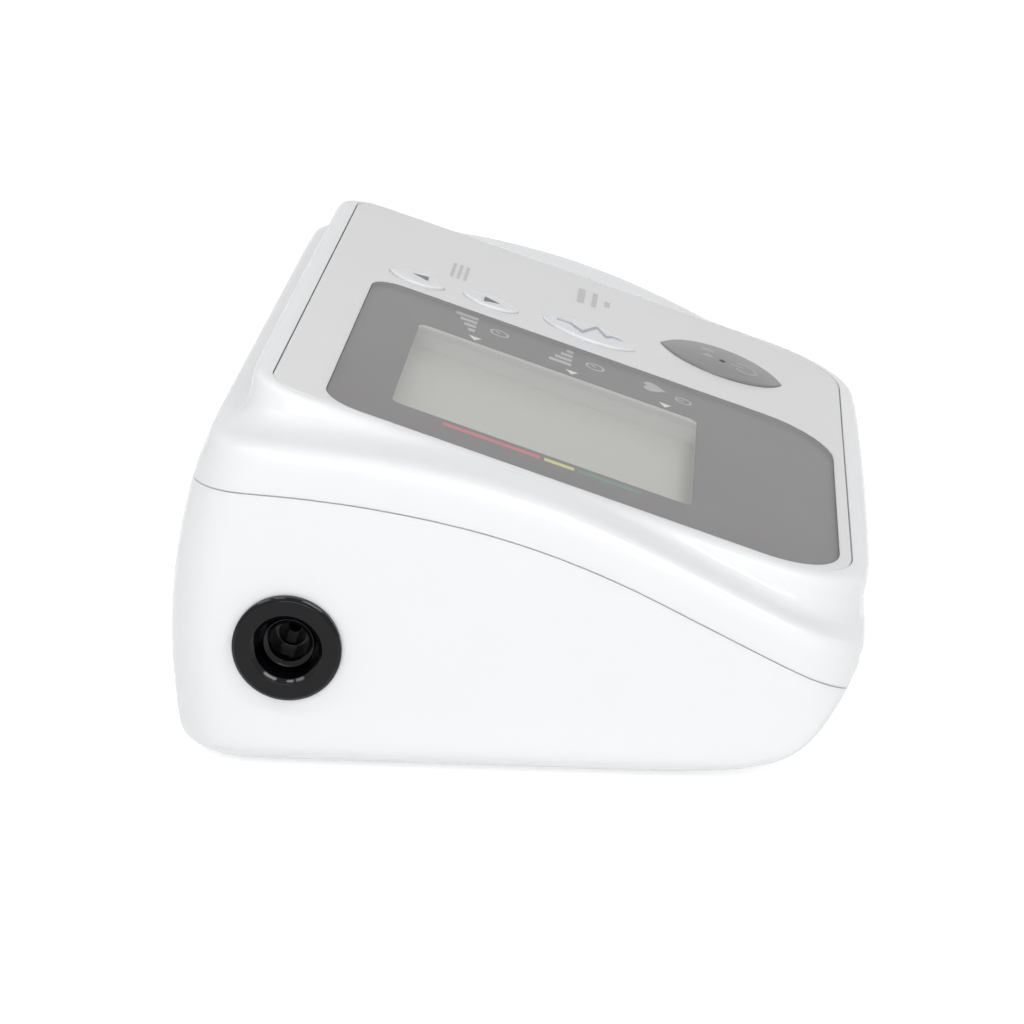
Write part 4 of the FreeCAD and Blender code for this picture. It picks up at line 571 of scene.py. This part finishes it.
SCALE_X = (-48.2, -46.8)
SCALE = {                 # each part's span in s, and its ink
    "scale_red": ((-3.1, 12.5), red_ink),
    "scale_yellow": ((-8.6, -3.8), yellow_ink),
    "scale_green": ((-19.4, -9.25), green_ink),
}
for name, (span, colour) in SCALE.items():
    under_window(name, [bar(SCALE_X, span)], colour)
ROWS = {"upper": 11.6, "lower": -5.4, "pulse": -21.8}     # s of the three pointers
POINTER_X = (-0.3, 1.7)
POINTER_HALF = 1.1
for name, s in ROWS.items():
    tip, back = POINTER_X
    triangle = [(tip, s), (back, s - POINTER_HALF), (back, s + POINTER_HALF)]
    under_window("pointer_" + name, [triangle], bright_ink)
print("marks on the mask:", len(SCALE) + len(ROWS))

# %% [markdown]
# Each row's sign is drawn from outlines: bars side by side, a heart from a formula, a dial
# from two circles and a hand. An outline inside another is a hole, and one inside that hole
# is filled again, so two circles make a ring and the hand stands free in it. A symbol font
# could give such signs too, but then the look hangs on which fonts a computer has.

# %% The signs of the three rows
def stepped_bars(x, s, heights, width=1.5, pitch=2.4):
    """Bars of these heights side by side, standing on one line."""
    foot = s - max(heights) / 2
    first = x - pitch * (len(heights) - 1) / 2
    middles = [first + pitch * index for index in range(len(heights))]
    return [bar((m - width / 2, m + width / 2), (foot, foot + h)) for m, h in zip(middles, heights)]


def heart(x, s, width, count=36):
    """The curve of a heart, from its well-known formula, which is 32 units wide."""
    scale = width / 32.0
    points = []
    for step in range(count):
        t = 2 * math.pi * step / count
        up = 13 * math.cos(t) - 5 * math.cos(2 * t) - 2 * math.cos(3 * t) - math.cos(4 * t)
        points.append((x + 16 * scale * math.sin(t) ** 3, s + scale * up))
    return points


HAND_LENGTH = 1.1
HAND_TAIL = 0.15          # how far a hand reaches past the dial's middle
HAND_WIDTH = 0.35


def dial(x, s, radius, angle):
    """A ring with one hand, which points this many degrees round from x."""
    way = Vector((math.cos(math.radians(angle)), math.sin(math.radians(angle))))
    start = Vector((x, s)) - HAND_TAIL * way
    hand = stroke([tuple(start), tuple(start + HAND_LENGTH * way)], HAND_WIDTH)
    return [circle(x, s, radius), circle(x, s, radius * 0.78), hand]


SIGN_X = 8.4
SIGN_RISE = 2.3           # from each pointer up to its sign
UNIT_DROP = 6.0           # from each row's sign down to the sign of its unit
RISING = (1.2, 2.1, 3.0, 3.9)
HEART_WIDTH = 4.6
GAUGE_R = 1.7
CLOCK_X, CLOCK_RISE, CLOCK_R = SIGN_X - 1.6, 0.6, 1.5
upper_s, lower_s, pulse_s = [s + SIGN_RISE for s in ROWS.values()]
signs = {
    "sign_upper": stepped_bars(SIGN_X, upper_s, RISING),
    "sign_lower": stepped_bars(SIGN_X, lower_s, RISING[::-1]),
    "sign_pulse": [heart(SIGN_X, pulse_s, HEART_WIDTH)],
    "gauge_upper": dial(SIGN_X, upper_s - UNIT_DROP, GAUGE_R, angle=45.0),
    "gauge_lower": dial(SIGN_X, lower_s - UNIT_DROP, GAUGE_R, angle=45.0),
    "clock_pulse": dial(CLOCK_X, pulse_s - UNIT_DROP + CLOCK_RISE, CLOCK_R, angle=90.0),
}
for name, outlines in signs.items():
    under_window(name, outlines, pale_ink)
print("signs:", ", ".join(signs))

# %% [markdown]
# ## Marks on the plate and on the buttons
#
# These are pad prints: a soft pad presses the ink on, also over a crowned face. To do the
# same here, each point of a mark is dropped along the panel's normal until it meets the
# button. A shrinkwrap modifier does that too, but a helper of few lines shows how it works.
# A button's mark rides on the button, so it goes down with it.

# %% A helper that drops marks onto a button
PRINT_LIFT = 0.035        # the top of a print, over the face that carries it
PRINT_SINK = 0.03         # and its bottom, under that face
DROP_FROM = 6.0           # where the drop starts, out from the panel's face


def drop_on(node):
    """A version of on_panel whose heights start from this piece's face."""
    mesh = nodes[node].data
    corners = [vertex.co for vertex in mesh.vertices]
    surface = BVHTree.FromPolygons(corners, [face.vertices for face in mesh.polygons])

    def place(x, s, n=0.0):
        met = surface.ray_cast(on_panel(x, s, DROP_FROM), INTO_PANEL)[0]
        return met + n * MM * OUT_OF_PANEL

    return place


def printed(name, outlines, material, node, body, slot):
    """Print a mark on this CAD piece, which belongs to this body."""
    flat_piece(name, outlines, -PRINT_SINK, PRINT_LIFT, material, body, slot, drop_on(node))
    print("print:", name, "on", node)


# %% [markdown]
# Captions belong beside the mode button and the memory buttons. Plain bars take their places,
# as long and as heavy as a caption's rows. A text object could set words there, but bars need
# no font and no language.

# %% Prints on the plate
def lines_of(x, rows):
    """Plain bars under each other. A row is its s, its length and its width."""
    outlines = []
    for s, length, width in rows:
        outlines.append(stroke([(x - length / 2, s), (x + length / 2, s)], width))
    return outlines


memory_lines = lines_of(33.6, [(18.7, 9.0, 0.55), (17.5, 9.0, 0.55), (16.3, 9.0, 0.55)])
printed("memory_lines", memory_lines, plate_ink, "front_panel", "case", "panel_white")
mode_lines = lines_of(45.6, [(-4.3, 9.0, 1.3), (-6.8, 9.0, 0.9), (-9.2, 3.4, 1.0)])
printed("mode_lines", mode_lines, plate_ink, "front_panel", "case", "panel_white")

# %% [markdown]
# The memory buttons carry arrows and the mode button a heartbeat line. A button's face is
# crowned, so an outline with only a few corners would cut through it between them. More
# points on each side let the print follow the crown.

# %% Prints on the white buttons
ARROW_HALF = 1.3
ARROW_LENGTH = 2.8
ARROWS = (("memory_up_button", 20.4, 23.6, 1), ("memory_down_button", 20.5, 10.7, -1))


def arrow_head(x, s, way):
    """A triangle that points up the slope where way is 1, and down it where way is -1."""
    foot, tip = s - way * ARROW_LENGTH / 2, s + way * ARROW_LENGTH / 2
    return loop_in_steps([(x - ARROW_HALF, foot), (x + ARROW_HALF, foot), (x, tip)])


for name, x, s, way in ARROWS:
    printed(name + "_arrow", [arrow_head(x, s, way)], dark_ink, name, name, "button_white")

BEAT_WIDTH = 0.7
BEAT = (
    (24.4, -0.9), (24.0, -3.2), (21.0, -5.6), (26.6, -8.0), (22.8, -9.8), (24.6, -11.0), (24.6, -12.6)
)
beat = stroke(in_steps(BEAT), BEAT_WIDTH)
printed("mode_heartbeat", [beat], blue_ink, "mode_button", "mode_button", "button_white")

# %% [markdown]
# The START button carries a power sign, a dot, and a triangle and a square for go and stop.
# The power sign is a line bent into a ring that is open at its top, with a short stem in the
# gap. A whole ring could be cut open with a Boolean, but the helper that draws lines needs
# no cut.

# %% Prints on the START button
start_face = ("start_button", "start_button", "button_grey")
RING_X, RING_S, RING_R = 32.8, -35.1, 2.1
RING_GAP = 40.0           # degrees open on each side of the stem
RING_WIDTH = 0.65
turns = [math.radians(90.0 + RING_GAP + (360.0 - 2 * RING_GAP) * step / 40) for step in range(41)]
ring = [(RING_X + RING_R * math.cos(turn), RING_S + RING_R * math.sin(turn)) for turn in turns]
stem = in_steps([(RING_X, RING_S + 0.4), (RING_X, RING_S + RING_R + 0.5)])
power_sign = [stroke(ring, RING_WIDTH), stroke(stem, RING_WIDTH)]
printed("start_power_sign", power_sign, pale_ink, *start_face)

DOT_S, DOT_R = -30.9, 0.6
printed("start_dot", [circle(RING_X, DOT_S, DOT_R, count=20)], black_ink, *start_face)

GO_X = (32.6, 34.8)
GO_S, GO_HALF = -28.2, 1.3
STOP_X = (35.8, 38.0)
STOP_HALF = 1.1
go = loop_in_steps([(GO_X[0], GO_S - GO_HALF), (GO_X[1], GO_S), (GO_X[0], GO_S + GO_HALF)])
stop = loop_in_steps(bar(STOP_X, (GO_S - STOP_HALF, GO_S + STOP_HALF)))
printed("start_go_and_stop", [go, stop], pale_ink, *start_face)

# %% [markdown]
# ## The air socket
#
# The cuff's hose plugs into a socket of black plastic with a high gloss. It is turned, so one
# profile makes all of it: a flange outside, a deep well, and a nozzle inside the well. What
# one sees of it is mostly its edges, which catch the lamps. So this piece stands for the CAD
# socket, with the same sizes and finer edges: a bevel round the flange, a flat bevel round
# the well, and a funnel in the nozzle's mouth. A bevel modifier could round the CAD socket's
# edges, but a profile gives each edge a rounding of its own.

# %% Helpers for a turned piece
SHARP_FROM = 32.0         # degrees between two faces from which their edge stays sharp


def soften(corners, steps=5):
    """A profile whose corners are rounded. A corner is its radius, its depth and its rounding."""
    profile = []
    for index, (r, d, rounding) in enumerate(corners):
        here = Vector((r, d))
        ways = []
        for other in (corners[index - 1], corners[(index + 1) % len(corners)]):
            ways.append((Vector(other[:2]) - here).normalized())
        if rounding == 0.0:
            profile.append(here)
            continue
        half = ways[0].angle(ways[1]) / 2
        starts = [here + way * rounding / math.tan(half) for way in ways]
        middle = here + (ways[0] + ways[1]).normalized() * rounding / math.sin(half)
        for step in range(steps + 1):
            chord = starts[0].lerp(starts[1], step / steps) - middle
            profile.append(middle + chord.normalized() * rounding)
    return profile


def turned_piece(name, profile, origin, outward, material, body, count=96):
    """A closed profile of radii and depths in mm, turned about the line outward through origin."""
    across = outward.orthogonal().normalized()
    other = outward.cross(across)
    mesh = bpy.data.meshes.new(name)
    turned = bmesh.new()
    rings = []
    for r, d in profile:
        ring = []
        for step in range(count):
            turn = 2 * math.pi * step / count
            way = math.cos(turn) * across + math.sin(turn) * other
            ring.append(turned.verts.new(origin + MM * (d * outward + r * way)))
        rings.append(ring)
    for ring, after in zip(rings, rings[1:] + rings[:1]):
        for here in range(count):
            there = (here + 1) % count
            turned.faces.new((ring[here], ring[there], after[there], after[here]))
    bmesh.ops.recalc_face_normals(turned, faces=turned.faces)
    for face in turned.faces:
        face.smooth = True
    turned.to_mesh(mesh)
    turned.free()
    mesh.set_sharp_from_angle(angle=math.radians(SHARP_FROM))
    mesh.materials.append(material)
    piece = bpy.data.objects.new(name, mesh)
    bpy.context.scene.collection.objects.link(piece)
    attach(piece, body)
    return piece


# %% [markdown]
# This black mirrors less than common plastic does, so the specular level is turned down on
# the shader itself. The socket's size and place are measured on the CAD socket's box, and
# the nut, which lies against the inside of the wall, says where the wall is.

# %% The socket's finish and its measures
SOCKET_MIRROR = 0.22      # specular level, which is 0.5 for common plastic
socket_black = moulded_plastic(
    "socket black", (0.0032, 0.0028, 0.0042), roughness=0.1,
    grain_mm=0.5, grain_height_mm=0.0006, shade=0.2, gloss_change=0.02,
)
socket_black.node_tree.nodes["Principled BSDF"].inputs["Specular IOR Level"].default_value = SOCKET_MIRROR

WALL_T = 2.5              # thickness of the case's wall at the socket, in mm
SOCKET_LOW, SOCKET_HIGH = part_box("air_socket")
WALL_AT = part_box("socket_nut")[0].x - WALL_T * MM
SOCKET_AXIS = Vector((WALL_AT, (SOCKET_LOW.y + SOCKET_HIGH.y) / 2, (SOCKET_LOW.z + SOCKET_HIGH.z) / 2))
OUTWARD = Vector((-1.0, 0.0, 0.0))
FLANGE_R = (SOCKET_HIGH.y - SOCKET_LOW.y) / 2 / MM
FACE = (WALL_AT - SOCKET_LOW.x) / MM                 # how far the flange stands out of the wall
BODY_END = -10.0
BARB_END = (WALL_AT - SOCKET_HIGH.x) / MM
print("socket: flange radius", round(FLANGE_R, 2), "mm, standing out", round(FACE, 2), "mm")

# %% [markdown]
# The profile goes once round the cut face of the socket. It starts in the barb's bore, runs
# along the barb and the body to the flange, over the flange's bevel into the well, and out
# over the nozzle into its bore.

# %% The socket
SOCKET_PROFILE = (        # radius, depth and rounding of each corner
    (1.0, BARB_END, 0.0), (1.95, BARB_END, 0.2), (1.95, BODY_END, 0.0), (6.35, BODY_END, 0.3),
    (6.35, 0.0, 0.0), (FLANGE_R, 0.0, 0.0), (FLANGE_R, 0.85, 0.15), (FLANGE_R - 0.5, FACE, 0.25),
    (5.45, FACE, 0.15), (4.8, FACE - 0.65, 0.15), (4.8, -8.0, 0.0), (3.9, -8.0, 0.0),
    (3.9, -1.5, 0.15), (3.05, -2.1, 0.2), (2.95, -3.2, 0.2), (2.95, -6.0, 0.0), (2.0, -6.0, 0.1),
    (2.0, -9.0, 0.0), (1.0, -9.0, 0.0),
)
socket = turned_piece(
    "turned_socket", soften(SOCKET_PROFILE), SOCKET_AXIS, OUTWARD, socket_black, "case"
)
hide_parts("air_socket")
print("socket faces:", len(socket.data.polygons))

# %% [markdown]
# ## Small outside pieces
#
# The feet are dark rubber with a coarse, dull grain, and the power jack is common black
# plastic. The recipe for plastic gives both when its numbers are changed.

# %% Feet and power jack
foot_rubber = moulded_plastic(
    "foot rubber", (0.10, 0.10, 0.105), roughness=0.75, grain_mm=0.3, grain_height_mm=0.01, shade=0.1
)
wear(["rubber_feet"], foot_rubber)
jack_black = moulded_plastic("jack black", (0.018, 0.018, 0.02), roughness=0.4)
wear(["power_jack"], jack_black)

# %% [markdown]
# ## Inside the case
#
# What the case hides could stay plain grey, but it gets its true finish too: some of it shows
# when the battery cover is off, and all of it when someone opens the model up.

# %% Finishes of the inner plastic, rubber and silicone
inner_white = moulded_plastic("inner white", (0.66, 0.66, 0.63), roughness=0.45)
wear(["pressure_sensor", "air_manifold", "motor_end_cap", "pump_head"], inner_white)
chip_black = moulded_plastic(
    "chip black", (0.02, 0.02, 0.022), roughness=0.45, grain_mm=0.15, grain_height_mm=0.003
)
SWITCH_PLUNGERS = [name for name in nodes if name.endswith("_switch_plunger")]
wear(["board_chips", "buzzer", "tact_switches", "socket_nut", *sorted(SWITCH_PLUNGERS)], chip_black)
soft_black = moulded_plastic(
    "black rubber", (0.03, 0.03, 0.03), roughness=0.8, grain_mm=0.25, grain_height_mm=0.006, shade=0.1
)
wear(["lcd_connectors", "pump_diaphragm", "pump_sleeves"], soft_black)
board_green = moulded_plastic(
    "solder mask", (0.02, 0.16, 0.06), roughness=0.35, grain_mm=0.8, grain_height_mm=0.004, shade=0.25
)
wear(["main_board"], board_green)
tube_milk = moulded_plastic(
    "silicone tube", (0.62, 0.63, 0.60), roughness=0.4, grain_mm=0.6, grain_height_mm=0.003
)
wear(["socket_tube", "pump_tube", "sensor_tube", "valve_tube"], tube_milk)

# %% [markdown]
# Under the shine of bare metal lies no colour: the shine itself is tinted. So the shader is
# metallic, and its base colour is what the metal mirrors. The recipe for plastic can't do
# that, and four metals share a recipe of their own.

# %% Metals
BARE_STEEL = (0.62, 0.62, 0.63)


def metal(name, colour, roughness):
    """Bare metal whose brightness and gloss drift a little over its face."""
    material, tree, shader = new_material(name)
    shader.inputs["Metallic"].default_value = 1.0
    broad = noise_at(tree, 120.0, 3.0)
    darker = tuple(part * 0.9 for part in colour)
    tree.links.new(mix_colours(tree, broad, colour, darker), shader.inputs["Base Color"])
    tree.links.new(between(tree, broad, roughness - 0.06, roughness + 0.06), shader.inputs["Roughness"])
    add_grain(tree, shader, 4000.0, 0.001)
    return material


steel = metal("bright steel", BARE_STEEL, roughness=0.3)
wear(["case_screws", "board_screws", "pump_motor", "motor_rotor", "valve_frame", "valve_plunger"], steel)
nickel = metal("nickel", (0.70, 0.67, 0.61), roughness=0.24)
wear(["jack_pin", "button_contacts", "spring_contacts"], nickel)
ferrite = metal("ferrite", (0.10, 0.10, 0.105), roughness=0.5)
wear(["motor_magnets"], ferrite)
copper = metal("enamelled copper", (0.75, 0.38, 0.20), roughness=0.35)
wear(["valve_coil"], copper)

# %% [markdown]
# ## The cells
#
# A cell is a steel can in a printed sleeve. The sleeve stops just short of the can's ends, so
# the finish changes from sleeve to bare steel at two places along the cell. A second material
# on some of the faces would do too, if the can's wall were cut into faces at those places.

# %% Cell sleeves with bare ends
BARE_END = 1.2 * MM       # how much of each end stays bare
BAND = 7.0 * MM           # width of the sleeve's lighter band, at the right end


def cell_sleeve(name, colour, band_colour, left, right):
    """A printed sleeve from left to right with a lighter band, and bare steel past its ends."""
    material, tree, shader = new_material(name)
    place = tree.nodes.new("ShaderNodeTexCoord")
    split = tree.nodes.new("ShaderNodeSeparateXYZ")
    tree.links.new(place.outputs["Object"], split.inputs["Vector"])
    along = split.outputs["X"]
    before, after = maths(tree, "LESS_THAN", along, left), maths(tree, "GREATER_THAN", along, right)
    bare = maths(tree, "MAXIMUM", before, after)
    in_band = maths(tree, "GREATER_THAN", along, right - BAND)
    paint = tree.nodes.new("ShaderNodeMix")
    paint.data_type = "RGBA"
    paint.inputs["B"].default_value = (*BARE_STEEL, 1.0)
    tree.links.new(bare, paint.inputs["Factor"])
    tree.links.new(mix_colours(tree, in_band, colour, band_colour), paint.inputs["A"])
    tree.links.new(paint.outputs["Result"], shader.inputs["Base Color"])
    tree.links.new(bare, shader.inputs["Metallic"])
    tree.links.new(between(tree, noise_at(tree, GLOSS_PATCHES), 0.24, 0.34), shader.inputs["Roughness"])
    add_grain(tree, shader, 3000.0, 0.0015)
    return material


cells_low, cells_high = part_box("battery_cells")
sleeve_ends = (cells_low.x + BARE_END, cells_high.x - BARE_END)
sleeve_print = cell_sleeve("cell sleeve", (0.09, 0.17, 0.30), (0.55, 0.55, 0.52), *sleeve_ends)
wear(["battery_cells"], sleeve_print)

# %% [markdown]
# ## The studio
#
# A white floor, a soft world and four lamps. The world is brighter round the horizon than
# overhead, because a product table is lit mostly from its sides. The floor and the backdrop
# look plain white to the camera, in mirrors and through glass, and yet they throw no extra
# light on the monitor: the Light Path node tells such rays from the others.

# %% A test for rays that see the studio directly
def seen_directly(tree):
    """1 for rays from the camera, from mirrors and through glass, 0 for the rest."""
    path = tree.nodes.new("ShaderNodeLightPath")
    camera_or_mirror = maths(tree, "MAXIMUM", path.outputs["Is Camera Ray"], path.outputs["Is Glossy Ray"])
    return maths(tree, "MAXIMUM", camera_or_mirror, path.outputs["Is Transmission Ray"])


# %% [markdown]
# The floor is a plain square of matt white. To rays that see it directly it glows as well, so
# it runs into the backdrop without a horizon. A sheet bent up behind the monitor would hide
# the horizon too, but a flat floor is simpler and looks the same from every side.

# %% The floor
FLOOR_REACH = 3.0         # metres from the middle to each side
FLOOR_COLOUR = 0.82
FLOOR_LIFT = 0.6          # how strongly it glows to rays that see it directly
floor_mesh = bpy.data.meshes.new("floor")
corners = [(x * FLOOR_REACH, y * FLOOR_REACH, 0.0) for x, y in ((-1, -1), (1, -1), (1, 1), (-1, 1))]
floor_mesh.from_pydata(corners, [], [(0, 1, 2, 3)])
floor = bpy.data.objects.new("floor", floor_mesh)
bpy.context.scene.collection.objects.link(floor)

floor_paint, tree, shader = new_material("floor paint")
tree.nodes.remove(shader)
matt = tree.nodes.new("ShaderNodeBsdfDiffuse")
matt.inputs["Color"].default_value = (FLOOR_COLOUR, FLOOR_COLOUR, FLOOR_COLOUR, 1.0)
glow = tree.nodes.new("ShaderNodeEmission")
tree.links.new(maths(tree, "MULTIPLY", seen_directly(tree), FLOOR_LIFT), glow.inputs["Strength"])
both = tree.nodes.new("ShaderNodeAddShader")
tree.links.new(matt.outputs["BSDF"], both.inputs[0])
tree.links.new(glow.outputs["Emission"], both.inputs[1])
tree.links.new(both.outputs["Shader"], tree.nodes["Material Output"].inputs["Surface"])
floor_mesh.materials.append(floor_paint)
print("floor:", 2 * FLOOR_REACH, "m wide")

# %% [markdown]
# The world lights the monitor softly from all round, and its strength falls from the horizon
# to the top. An environment picture could do this, but two strengths are easier to tune. Rays
# that see the world directly meet a plain white backdrop in its place.

# %% The world
WORLD_TOP = 0.34          # strength overhead
WORLD_SIDE = 0.64         # and at the horizon
world = bpy.data.worlds.new("studio")
bpy.context.scene.world = world
world.use_nodes = True
tree = world.node_tree
tree.nodes.clear()
direction = tree.nodes.new("ShaderNodeTexCoord")
height = tree.nodes.new("ShaderNodeSeparateXYZ")
tree.links.new(direction.outputs["Generated"], height.inputs["Vector"])
fall = tree.nodes.new("ShaderNodeMapRange")
fall.inputs["From Min"].default_value = 0.0
fall.inputs["From Max"].default_value = 1.0
fall.inputs["To Min"].default_value = WORLD_SIDE
fall.inputs["To Max"].default_value = WORLD_TOP
tree.links.new(height.outputs["Z"], fall.inputs["Value"])
room = tree.nodes.new("ShaderNodeBackground")
room.inputs["Color"].default_value = (1.0, 1.0, 1.0, 1.0)
tree.links.new(fall.outputs["Result"], room.inputs["Strength"])
backdrop = tree.nodes.new("ShaderNodeBackground")
backdrop.inputs["Color"].default_value = (1.0, 1.0, 1.0, 1.0)
backdrop.inputs["Strength"].default_value = 1.0
pick = tree.nodes.new("ShaderNodeMixShader")
tree.links.new(seen_directly(tree), pick.inputs["Fac"])
tree.links.new(room.outputs["Background"], pick.inputs[1])
tree.links.new(backdrop.outputs["Background"], pick.inputs[2])
out = tree.nodes.new("ShaderNodeOutputWorld")
tree.links.new(pick.outputs["Shader"], out.inputs["Surface"])
print("world strength:", WORLD_SIDE, "at the horizon,", WORLD_TOP, "overhead")

# %% [markdown]
# ## The lamps
#
# A large soft lamp stands on the monitor's left. Three long narrow ones hang over it, and
# what they are for is the row of highlights on the bevel round the socket's well. To find
# where such a lamp has to hang, turn the question round: a place on the bevel mirrors the
# camera's line of sight off its normal, and the lamp goes there. A lamp is set by its
# brightness, and its power follows from that and its area, so it can be made longer or
# shorter without changing how bright a mirror shows it.

# %% A soft lamp, and the one on the left
AIM = SOCKET_AXIS + FACE * MM * OUTWARD              # the middle of the socket's face
LEFT_WAY = Vector((-0.90, -0.05, 0.42))
LEFT_DISTANCE = 1.1
LEFT_SIZE = 0.6
LEFT_BRIGHTNESS = 4.2
UPRIGHT = Vector((0.0, 0.0, 1.0))


def soft_lamp(name, way, along, distance, width, length, brightness):
    """A soft lamp in this direction from the socket, its long side along this axis."""
    lamp = bpy.data.objects.new(name, bpy.data.lights.new(name, "AREA"))
    bpy.context.scene.collection.objects.link(lamp)
    lamp.data.shape = "RECTANGLE"
    lamp.data.size = width
    lamp.data.size_y = length
    lamp.data.energy = brightness * width * length * math.pi
    out = way.normalized()
    long_side = (along - along.dot(out) * out).normalized()
    turn = Matrix((long_side.cross(out), long_side, out)).transposed().to_4x4()
    lamp.matrix_world = Matrix.Translation(AIM + distance * out) @ turn
    print("lamp", name, "at", [round(c, 2) for c in lamp.location], "power", round(lamp.data.energy, 2))


soft_lamp("left_lamp", LEFT_WAY, UPRIGHT, LEFT_DISTANCE, LEFT_SIZE, LEFT_SIZE, LEFT_BRIGHTNESS)

# %% [markdown]
# The bevel round the well leans at 45 degrees, so its normal is easy to write down for each
# place round the well. Two such places give a rim lamp's two ends.

# %% The rim lamps
LAMP_DISTANCE = 0.9
TO_CAMERA = (camera.location - AIM).normalized()


def mirrored_at(degrees):
    """Where the camera looks after the bevel, this far round its lowest place towards the back."""
    turn = math.radians(degrees)
    normal = Vector((-1.0, -math.sin(turn), math.cos(turn))).normalized()
    return 2 * normal.dot(TO_CAMERA) * normal - TO_CAMERA


def rim_lamp(name, first, last, width, brightness):
    """A lamp whose highlight runs between these two places of the bevel."""
    ends = mirrored_at(first), mirrored_at(last)
    length = LAMP_DISTANCE * (ends[0] - ends[1]).length
    way = mirrored_at((first + last) / 2)
    soft_lamp(name, way, ends[0] - ends[1], LAMP_DISTANCE, width, length, brightness)


rim_lamp("front_lamp", first=18.0, last=42.0, width=0.06, brightness=17.0)
rim_lamp("top_lamp", first=-11.0, last=0.0, width=0.04, brightness=17.0)
rim_lamp("back_lamp", first=-30.0, last=-16.0, width=0.07, brightness=9.0)
